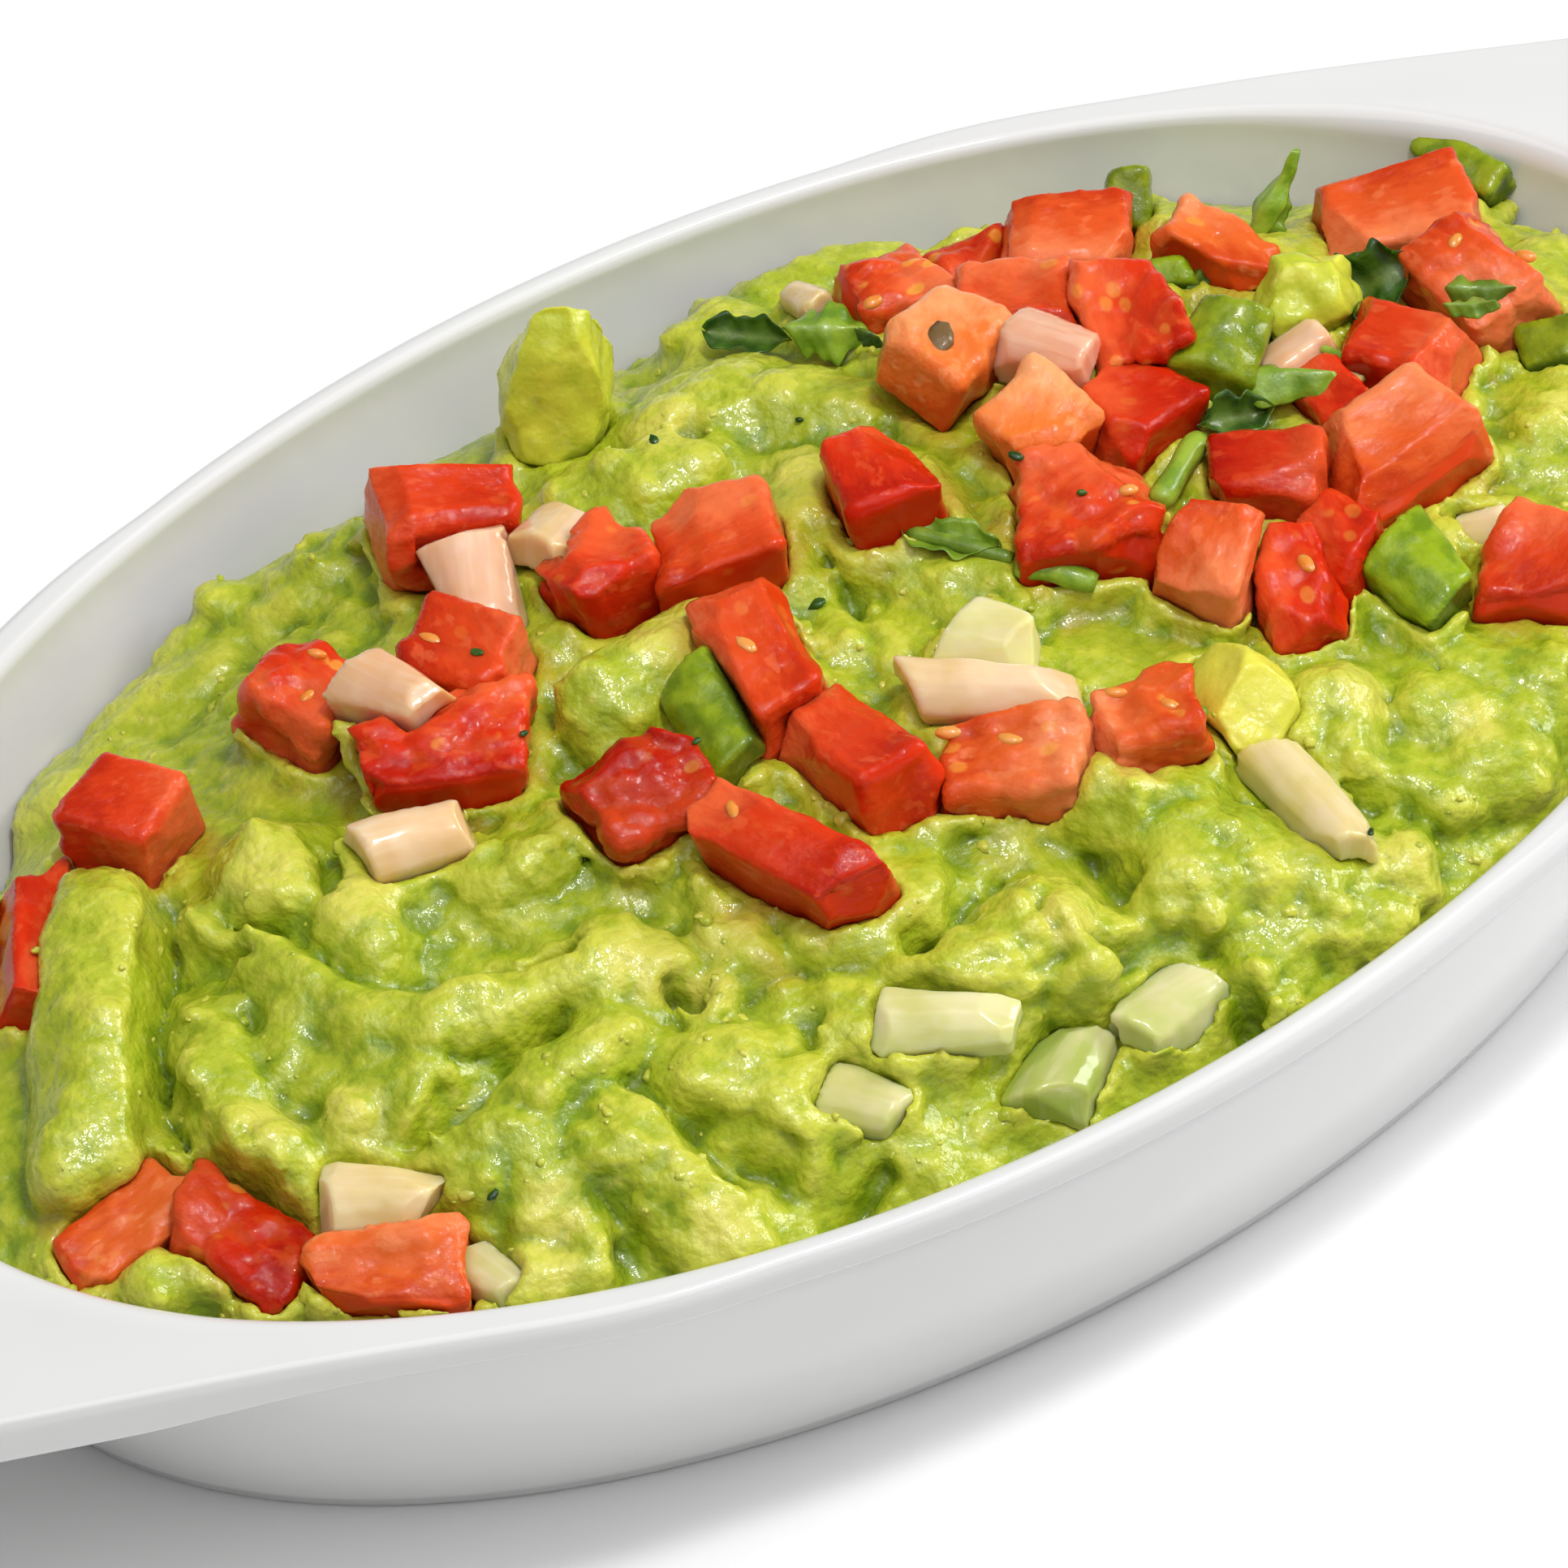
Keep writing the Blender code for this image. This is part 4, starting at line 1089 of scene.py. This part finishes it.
def stem(line, radius, tone, number):
    """Points, faces and values of a cut piece of stem."""
    line = np.array(line, float)
    steps, around = 14, 14
    at = np.linspace(0, len(line) - 1, steps)
    middle = np.stack([np.interp(at, np.arange(len(line)), line[:, i]) for i in range(3)], 1)
    middle = np.vstack([middle[:1], (middle[:-2] + middle[1:-1] + middle[2:]) / 3, middle[-1:]])
    ahead = np.gradient(middle, axis=0)
    ahead /= np.linalg.norm(ahead, axis=1)[:, None]
    side = np.cross(ahead, (0, 0, 1))
    side /= np.linalg.norm(side, axis=1)[:, None]
    up = np.cross(side, ahead)
    turns = (2 * np.pi * np.arange(around) / around)[None, :, None]
    size = radius * (1 + 0.08 * np.sin(at * 5 + number))
    size[[0, -1]] *= 0.8
    rings = middle[:, None] + size[:, None, None] * (
        np.cos(turns) * side[:, None] + 0.85 * np.sin(turns) * up[:, None]
    )
    points = np.vstack([rings.reshape(-1, 3), middle[:1], middle[-1:]])
    return points, tube_faces(steps, around), tone, 0.5


def pebble(x, y, z, yaw, pitch, length, width, thickness, seed, rough, around=10):
    """Points and faces of a small rounded body."""
    rings = around // 2 + 1
    polar = np.pi * (np.arange(rings) + 0.5) / rings
    turns = 2 * np.pi * np.arange(around) / around
    unit = np.stack([
        np.outer(np.cos(polar), np.ones(around)),
        np.outer(np.sin(polar), np.cos(turns)),
        np.outer(np.sin(polar), np.sin(turns)),
    ], 2).reshape(-1, 3)
    unit = np.vstack([unit, [(1, 0, 0), (-1, 0, 0)]])
    spread = 1 + rough * smooth_noise((unit + seed * 5).astype(np.float32), 0.9, seed)
    local = unit * spread[:, None] * np.array([length, width, thickness]) / 2
    points = local @ turned(yaw, pitch, 0) + np.array([x, y, z])
    return points, tube_faces(rings, around)


def on_top(ground, x, y, reach):
    """The height of the highest point within reach of (x, y)."""
    return ground[np.hypot(ground[:, 0] - x, ground[:, 1] - y) < reach][:, 2].max()


def make_cilantro(ground, look):
    """Leaves, stems and flecks; ground is points of the surfaces that the flecks lie on."""
    bits = [leaf(*row, number) for number, row in enumerate(LEAVES)]
    bits += [stem(*row, number) for number, row in enumerate(STEMS)]
    for number, (x, y, size, tone) in enumerate(FLECKS):
        z = on_top(ground, x, y, 0.5)
        shape = pebble(x, y, z, 40 * number, 10, 1.5 * size, size, 0.25 + 0.2 * size, number + 3, 0.4)
        bits.append((*shape, tone, 0.0))
    heaped = Heaped()
    for points, faces, tone, vein in bits:
        heaped.add(points, faces, tone=tone, vein=vein)
    return heaped.build("cilantro_bits", look)


def make_seeds(ground, look):
    """Seeds half sunk into what lies under them."""
    heaped = Heaped()
    for number, (x, y, yaw, length, width, tone) in enumerate(SEEDS):
        z = on_top(ground, x, y, 0.7) - 0.3
        points, faces = pebble(x, y, z, yaw, 0, 0.85 * length, 0.85 * width, 0.8, number + 3, 0.15, 16)
        heaped.add(points, faces, tone=tone)
    return heaped.build("tomato_seeds", look)


def make_grains(places, normals, rough, look):
    """Loose grains of mash that cling to the rough parts of the heap."""
    heaped = Heaped()
    index = np.arange(len(places))
    draw = hashed(211, index, index * 0 + 3, index * 0 + 5)
    good = np.nonzero((normals[:, 2] > 0.25) & (rough > 0.45))[0]
    chosen = good[np.argsort(draw[good])][:GRAINS]
    shapes = [pebble(0, 0, 0, 0, 0, 1.0, 0.8, 0.6, s, 0.75) for s in range(GRAIN_SHAPES)]
    for number, at in enumerate(chosen):
        a, b, c = (float(hashed(220 + k, *(np.array([v]) for v in (at, number, 7)))[0]) for k in range(3))
        size = 0.7 + 0.9 * a * a
        points, faces = shapes[number % GRAIN_SHAPES]
        points = (points * size) @ turned(360 * b, 60 * c - 30, 0) + places[at] - normals[at] * 0.3 * size
        # hollow below 0 paints each grain a little lighter, as painted light on a crest
        heaped.add(points, faces, hollow=-0.1, deep=0.0, juice=0.0, pale=0.8 * b)
    return heaped.build("guacamole_grains", look)


# ---- materials
NO_DEPTH = (0.0, 0.05, (1.0, 0.2, 0.1))  # light doesn't enter the surface
NO_COAT = (0.0, 0.03)


class Value:
    """What a node gives. Values add, take away and multiply through Math nodes."""

    def __init__(self, look, socket):
        self.look, self.socket = look, socket

    def __add__(self, other):
        return self.look.math("ADD", self, other)

    def __sub__(self, other):
        return self.look.math("SUBTRACT", self, other)

    def __rsub__(self, other):
        return self.look.math("SUBTRACT", other, self)

    def __mul__(self, other):
        return self.look.math("MULTIPLY", self, other)

    def span(self, low, high, start=0.0, end=1.0):
        """start up to low, end from high, and smooth between."""
        sockets = {"From Min": low, "From Max": high, "To Min": start, "To Max": end, "Value": self}
        return self.look.node("MapRange", "Result", sockets, interpolation_type="SMOOTHSTEP")


class Look:
    """A Principled material built up from values."""

    def __init__(self, name):
        self.material = bpy.data.materials.new(name)
        self.material.use_nodes = True
        self.tree = self.material.node_tree
        self.shader = self.tree.nodes["Principled BSDF"]
        self.place = self.node("TexCoord", "Object", {})

    def put(self, socket, value):
        if isinstance(value, Value):
            self.tree.links.new(value.socket, socket)
        elif isinstance(value, tuple) and len(value) == 3 and socket.type == "RGBA":
            socket.default_value = (*value, 1)
        else:
            socket.default_value = value

    def node(self, kind, output, sockets, **settings):
        made = self.tree.nodes.new("ShaderNode" + kind)
        for name, value in settings.items():
            setattr(made, name, value)
        for name, value in sockets.items():
            self.put(made.inputs[name], value)
        return Value(self, made.outputs[output])

    def finish(self, subsurface, coat, **inputs):
        """Sets the shader; subsurface is weight, scale and radius, and coat is weight and roughness."""
        weight, scale, radius = subsurface
        inputs.update(Subsurface_Weight=weight, Subsurface_Scale=scale, Subsurface_Radius=radius)
        inputs.update(Coat_Weight=coat[0], Coat_Roughness=coat[1])
        for name, value in inputs.items():
            self.put(self.shader.inputs[name.replace("_", " ")], value)
        return self.material

    def noise(self, size, detail=2.0, place=None, seed=0.0, distortion=0.0):
        """Noise about 0.5 with features about size mm across."""
        scale = 1 / (size * (MM if place is None else 1))
        sockets = {"W": seed, "Scale": scale, "Detail": detail, "Distortion": distortion}
        return self.node("TexNoise", "Fac", {"Vector": place or self.place, **sockets}, noise_dimensions="4D")

    def cells(self, size, place=None):
        """Distance from the middle of packed grains about size mm across, in grains."""
        scale = 1 / (size * (MM if place is None else 1))
        return self.node("TexVoronoi", "Distance", {"Vector": place or self.place, "Scale": scale})

    def read(self, *names):
        """What the piece's points were painted with."""
        found = [self.node("Attribute", "Fac", {}, attribute_name=name) for name in names]
        return found if len(found) > 1 else found[0]

    def math(self, operation, a, b=0.0):
        return self.node("Math", 0, {0: a, 1: b}, operation=operation)

    def mix(self, share, a, b, mode="MIX"):
        sockets = {"Factor": share, "A": a, "B": b}
        return self.node("Mix", "Result", sockets, data_type="RGBA", blend_type=mode)

    def own_place(self, *stretch):
        """Coordinates in mm along, across and through each piece, different for every piece."""
        shift = self.read("which")
        ways = zip(self.read("along", "across", "through"), stretch or (1.0, 1.0, 1.0))
        return self.node("CombineXYZ", 0, {k: way * by + shift for k, (way, by) in enumerate(ways)})

    def bump(self, height, depth, normal=None, strength=1.0):
        sockets = {"Strength": strength, "Distance": depth * MM, "Height": height}
        if normal is not None:
            sockets["Normal"] = normal
        return self.node("Bump", "Normal", sockets)


def porcelain():
    look = Look("porcelain_glaze")
    glaze = look.mix(look.noise(30, 3).span(0.3, 0.7), (0.70, 0.70, 0.695), (0.67, 0.67, 0.665))
    # the inner wall gets a painted bluish cast that cancels the green light the heap bounces onto it
    return look.finish(
        NO_DEPTH, (0.2, 0.03), IOR=1.45,
        Base_Color=look.mix(look.read("inside"), glaze, (0.655, 0.635, 0.745)),
        Roughness=look.noise(6, 3, seed=3).span(0.3, 0.7, 0.07, 0.13),
        Normal=look.bump(look.noise(9, 2, seed=5), 0.05, look.bump(look.noise(1.2, 2), 0.004)),
    )


def guacamole():
    look = Look("mashed_avocado")
    hollow, deep, juice, pale = look.read("hollow", "deep", "juice", "pale")
    broad = look.noise(13, 2, seed=1.3)
    middle = look.noise(3.4, 3, seed=2.1)
    fine = look.noise(1.1, 3, seed=4.7)
    # share: random tone and creamy lumps, plus painted shade that darkens the mash in creases and hollows
    # (hollow, deep) and lightens it on crests
    share = broad * 0.7 + middle * 0.8 + fine * 0.7 - hollow * 0.6 - deep * 0.09 + pale * 0.25
    colour = look.mix(share.span(0.80, 1.10), (0.21, 0.31, 0.006), (0.37, 0.44, 0.016))
    colour = look.mix(share.span(1.08, 1.40), colour, (0.54, 0.56, 0.050))
    grains = look.cells(1.7).span(0.10, 0.42, 1.0, 0.0)
    cream = grains * look.noise(4.0, 3, seed=8.2).span(0.50, 0.64)
    colour = look.mix(cream * 0.5, colour, (0.66, 0.62, 0.12))
    colour = look.mix(pale * fine.span(0.3, 0.6, 0.1, 0.7), colour, (0.66, 0.60, 0.11))
    # painted shade: dark green laid into the creases (hollow) and the wide hollows (deep)
    colour = look.mix(hollow.span(0.04, 0.45, 0.0, 0.8), colour, (0.14, 0.21, 0.003))
    colour = look.mix(deep.span(0.3, 2.2, 0.0, 0.75), colour, (0.12, 0.16, 0.003))
    stain = juice * look.noise(2.6, 2, seed=6.6).span(0.4, 0.7, 0.0, 0.5)
    soft = look.noise(0.6, 3, seed=9) + look.cells(0.8) * -0.6
    return look.finish(
        (0.35, 0.0009, (1.0, 0.9, 0.25)), (0.55, 0.1), IOR=1.35,
        Base_Color=look.mix(stain, colour, (0.46, 0.25, 0.03)),
        Roughness=look.noise(0.8, 3, seed=11).span(0.3, 0.7, 0.22, 0.45),
        Normal=look.bump(soft, 0.22, strength=0.9),
        Coat_Normal=look.bump(look.noise(0.8, 3, seed=15), 0.16),
    )


def tomato():
    look = Look("tomato_flesh")
    skin, tone, pulp, depth = look.read("skin", "tone", "pulp", "depth")
    fibres = look.noise(0.7, 4, look.own_place(0.35, 0.9, 0.9), distortion=0.4)
    cloud = look.noise(5.0, 2, look.own_place())
    flecks = look.noise(1.1, 4, look.own_place(0.6, 1.0, 1.0), seed=7).span(0.56, 0.66)
    shade = cloud * 0.5 + fibres * 0.4 + depth * 0.65
    dark = look.mix(tone, (0.42, 0.007, 0.001), (0.62, 0.070, 0.006))
    middle = look.mix(tone, (0.60, 0.024, 0.003), (0.78, 0.190, 0.030))
    pale = look.mix(tone, (0.78, 0.120, 0.030), (0.88, 0.420, 0.180))
    flesh = look.mix(shade.span(0.50, 0.72), dark, middle)
    flesh = look.mix(shade.span(0.72, 1.08), flesh, pale)
    flesh = look.mix(flecks * 0.45, flesh, pale)
    gel = pulp * look.noise(1.7, 2, look.own_place(), seed=3).span(0.50, 0.64)
    flesh = look.mix(gel * 0.5, flesh, (0.70, 0.13, 0.018))
    rind = look.mix(cloud.span(0.35, 0.65), (0.50, 0.010, 0.001), (0.64, 0.026, 0.002))
    rind = look.mix(tone * 0.8, rind, (0.72, 0.09, 0.010))
    colour = look.mix(skin, flesh, rind)
    colour = look.mix(0.15, colour, look.mix(tone, (0.62, 0.030, 0.002), (0.80, 0.200, 0.030)))
    pips = look.cells(2.4, look.own_place(0.7, 1.0, 1.0)).span(0.16, 0.26, 1.0, 0.0)
    pips = pips * (pulp * cloud.span(0.42, 0.5))
    colour = look.mix(pips * 0.75, colour, (0.80, 0.36, 0.05))
    relief = (fibres + look.noise(0.5, 3) * 0.6) * (1.0 - skin * 0.9)
    return look.finish(
        (0.5, 0.0014, (1.0, 0.25, 0.10)), (0.3, 0.03), IOR=1.15,
        Base_Color=look.mix(tone.span(-0.6, 0.0, 1.0, 0.0), colour, (0.70, 0.45, 0.30), "MULTIPLY"),
        Roughness=look.noise(0.8, 2, seed=5).span(0.3, 0.7, 0.12, 0.28),
        Normal=look.bump(relief, 0.16, strength=0.9),
        Coat_Normal=look.bump(look.noise(0.55, 3, seed=15), 0.16),
    )


def onion():
    look = Look("onion_flesh")
    pink, green, clear = look.read("pink", "green", "clear")
    veins = look.noise(0.9, 2, look.own_place(0.12, 1.0, 0.3))
    cloud = look.noise(3.0, 2, look.own_place(0.8, 1.0, 0.5))
    broad = look.noise(6.0, 1, look.own_place(1.0, 0.4, 0.4), seed=4)
    # rim: mask for a painted highlight, high away from the middle of the slice's thickness, standing in for
    # light that catches its edges
    rim = look.math("ABSOLUTE", look.read("through")).span(0.5, 1.0)
    base = look.mix(pink, (0.86, 0.84, 0.46), (0.72, 0.34, 0.24))
    base = look.mix(green, base, (0.38, 0.46, 0.10))
    glass = look.mix(pink, (0.64, 0.60, 0.16), (0.68, 0.29, 0.13))
    glass = look.mix(green, glass, (0.33, 0.42, 0.05))
    base = look.mix(broad.span(0.36, 0.62, 0.0, 0.5) + clear * 0.4, base, glass)
    # painted highlight: a lighter pink-cream laid along the slice's edges
    base = look.mix(rim * 0.25, base, (0.86, 0.68, 0.52))
    colour = look.mix(veins.span(0.48, 0.60, 0.0, 0.16), base, (0.88, 0.76, 0.60))
    colour = look.mix(cloud.span(0.50, 0.70, 0.0, 0.3), colour, (0.88, 0.72, 0.56))
    return look.finish(
        (0.9, 0.0022, (1.0, 0.7, 0.35)), (0.3, 0.06), IOR=1.36,
        Base_Color=look.mix(cloud.span(0.30, 0.50, 0.4, 0.0), colour, glass),
        Roughness=cloud.span(0.3, 0.7, 0.12, 0.26),
        Normal=look.bump(veins, 0.05),
    )


def pepper():
    look = Look("green_pepper")
    skin, bright = look.read("skin", "bright")
    cloud = look.noise(2.0, 3, look.own_place())
    dark = look.mix(bright, (0.12, 0.16, 0.003), (0.15, 0.26, 0.003))
    light = look.mix(bright, (0.24, 0.28, 0.008), (0.30, 0.42, 0.010))
    flesh = look.mix(cloud.span(0.35, 0.64), dark, light)
    rind = look.mix(cloud.span(0.4, 0.7), (0.010, 0.050, 0.006), (0.03, 0.11, 0.006))
    rind = look.mix(bright * 0.5, (0.09, 0.15, 0.008), rind)
    return look.finish(
        (0.3, 0.001, (0.6, 1.0, 0.2)), (0.15, 0.08), IOR=1.35,
        Base_Color=look.mix(skin, flesh, rind),
        Roughness=look.noise(1.2, 2).span(0.3, 0.7, 0.14, 0.34),
        Normal=look.bump(look.noise(0.6, 3), 0.1),
    )


def avocado():
    look = Look("avocado_chunk")
    cloud = look.noise(4.0, 3, seed=2).span(0.35, 0.62)
    colour = look.mix(cloud, (0.40, 0.49, 0.014), (0.64, 0.66, 0.050))
    patches = look.noise(1.8, 3, seed=6).span(0.50, 0.66, 0.0, 0.6)
    colour = look.mix(patches, colour, (0.34, 0.46, 0.012))
    colour = look.mix(look.read("ripe") * 0.8, colour, (0.72, 0.66, 0.08))
    flecks = look.noise(1.2, 3, seed=4).span(0.55, 0.7, 0.0, 0.35)
    return look.finish(
        (0.4, 0.0014, (1.0, 0.9, 0.25)), (0.1, 0.1), IOR=1.36,
        Base_Color=look.mix(flecks, colour, (0.78, 0.74, 0.20)),
        Roughness=look.noise(1.2, 2).span(0.3, 0.7, 0.22, 0.42),
        Normal=look.bump(look.noise(0.7, 3), 0.12),
    )


def herb():
    look = Look("cilantro")
    tone, vein = look.read("tone", "vein")
    cloud = look.noise(1.6, 3)
    dark = look.mix(cloud.span(0.35, 0.66), (0.008, 0.035, 0.004), (0.03, 0.10, 0.006))
    light = look.mix(cloud.span(0.35, 0.66), (0.14, 0.28, 0.010), (0.30, 0.44, 0.030))
    colour = look.mix(tone, dark, light)
    colour = look.mix(tone.span(-0.6, -0.1, 1.0, 0.0), colour, (0.17, 0.10, 0.035))
    return look.finish(
        (0.15, 0.0005, (0.6, 1.0, 0.2)), (0.2, 0.1), IOR=1.4,
        Base_Color=look.mix(vein * 0.25, colour, (0.36, 0.46, 0.08)),
        Roughness=look.noise(1.0, 2).span(0.3, 0.7, 0.22, 0.42),
        Normal=look.bump(look.noise(0.5, 3), 0.07),
    )


def tomato_seed():
    look = Look("tomato_seed")
    cloud = look.noise(0.8, 2)
    colour = look.mix(look.read("tone"), (0.78, 0.32, 0.07), (0.72, 0.20, 0.015))
    return look.finish(
        (0.6, 0.001, (1.0, 0.6, 0.2)), (0.4, 0.06), IOR=1.4,
        Base_Color=look.mix(cloud.span(0.35, 0.65, 0.0, 0.4), colour, (0.80, 0.38, 0.08)),
        Roughness=cloud.span(0.3, 0.7, 0.14, 0.3),
        Normal=look.bump(cloud, 0.05),
    )


# ---- stage
FLOOR_REACH = 6.0  # the stage is in metres
FLOOR_BELOW = 0.0002  # the floor lies this far under the dish's foot
CAMERA_AZIMUTH, CAMERA_ELEVATION, CAMERA_ROLL = math.radians(-28.47), math.radians(48.0), math.radians(-5.34)
CAMERA_TARGET = Vector((-0.000334, 0.004356, 0.015))
CAMERA_AWAY = 1.2
LENS, SENSOR = 388.9, 36  # mm
LAMP_AIM = Vector((0, 0, 0.02))
# Lamp: place, width, watts, then its height if it isn't square
LAMPS = {
    "overhead": ((0.0, -0.3, 1.3), 1.5, 11.5, None),
    "lamp": ((0.2, -0.2, 1.2), 0.14, 5.5, None),
    "right": ((1.2, -0.15, 0.7), 0.5, 9, None),
    "strip": ((0.1, -1.2, 0.27), 1.3, 0.9, 0.03),
}
STUDIO_LIGHT = 0.23


def make_floor():
    mesh = bpy.data.meshes.new("floor")
    corners = [(x * FLOOR_REACH, y * FLOOR_REACH, 0) for x, y in ((-1, -1), (1, -1), (1, 1), (-1, 1))]
    mesh.from_pydata(corners, [], [(0, 1, 2, 3)])
    floor = placed("floor", mesh)
    floor.location.z = -FLOOR_BELOW
    look = Look("pale_floor")
    shade = look.mix(look.noise(60, 2).span(0.3, 0.7), (0.86, 0.86, 0.86), (0.84, 0.84, 0.84))
    matte = look.finish(NO_DEPTH, NO_COAT, Base_Color=shade, Roughness=0.9, Specular_IOR_Level=0.1)
    mesh.materials.append(matte)


def make_lights():
    for name, (where, width, power, height) in LAMPS.items():
        lamp = bpy.data.lights.new(name, "AREA")
        lamp.energy = power
        lamp.size = width
        if height:
            lamp.shape = "RECTANGLE"
            lamp.size_y = height
        obj = placed(name, lamp)
        obj.location = where
        obj.rotation_euler = (LAMP_AIM - Vector(where)).to_track_quat("-Z", "Y").to_euler()
    world = bpy.data.worlds.new("studio")
    bpy.context.scene.world = world
    world.use_nodes = True
    background = world.node_tree.nodes["Background"].inputs
    background["Color"].default_value = (1, 1, 1, 1)
    background["Strength"].default_value = STUDIO_LIGHT


def make_camera():
    flat = math.cos(CAMERA_ELEVATION)
    away = Vector((
        flat * math.sin(CAMERA_AZIMUTH), -flat * math.cos(CAMERA_AZIMUTH), math.sin(CAMERA_ELEVATION),
    ))
    level = (-away).cross(Vector((0, 0, 1))).normalized()
    upright = level.cross(-away)
    right = level * math.cos(CAMERA_ROLL) + upright * math.sin(CAMERA_ROLL)
    up = -level * math.sin(CAMERA_ROLL) + upright * math.cos(CAMERA_ROLL)
    lens = bpy.data.cameras.new("camera")
    lens.sensor_width = SENSOR
    lens.lens = LENS
    lens.clip_start, lens.clip_end = 0.1, 20
    camera = placed("camera", lens)
    place = Matrix.Translation(CAMERA_TARGET + away * CAMERA_AWAY)
    camera.matrix_world = place @ Matrix((right, up, away)).transposed().to_4x4()
    bpy.context.scene.camera = camera


def make_dish_and_food():
    toppings = gathered_solids()
    skins = [even_skin(solid, triangles, NEIGHBOUR_CELL)[0] for _, _, solid, triangles in toppings]
    samples = [np.vstack(skins[:i] + skins[i + 1 :]) for i in range(len(skins))]
    dish = make_dish(porcelain())
    mash = guacamole()
    parts, pieces = [], {}
    for kind, look in (("tomato", tomato), ("onion", onion), ("pepper", pepper), ("avocado", avocado)):
        pieces[kind], added = make_toppings(kind, toppings, samples, look())
        parts += added
    heap, surface, normals, rough = make_heap_piece(parts, mash)
    grains = make_grains(surface, normals, rough, mash)
    ground = np.vstack([points for points, _ in parts] + [surface])
    cilantro = make_cilantro(ground, herb())
    seeds = make_seeds(ground, tomato_seed())
    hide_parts("dish")
    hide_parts("guacamole")
    for kind, piece in pieces.items():
        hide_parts(*[name for name in sorted(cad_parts) if name.startswith(kind)])
    for piece in (dish, heap, grains, cilantro, seeds, *pieces.values()):
        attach(piece, "root")


def main():
    bpy.context.scene.view_settings.view_transform = "Standard"
    bpy.context.scene.view_settings.look = "None"
    make_camera()
    make_floor()
    make_lights()
    make_dish_and_food()


main()
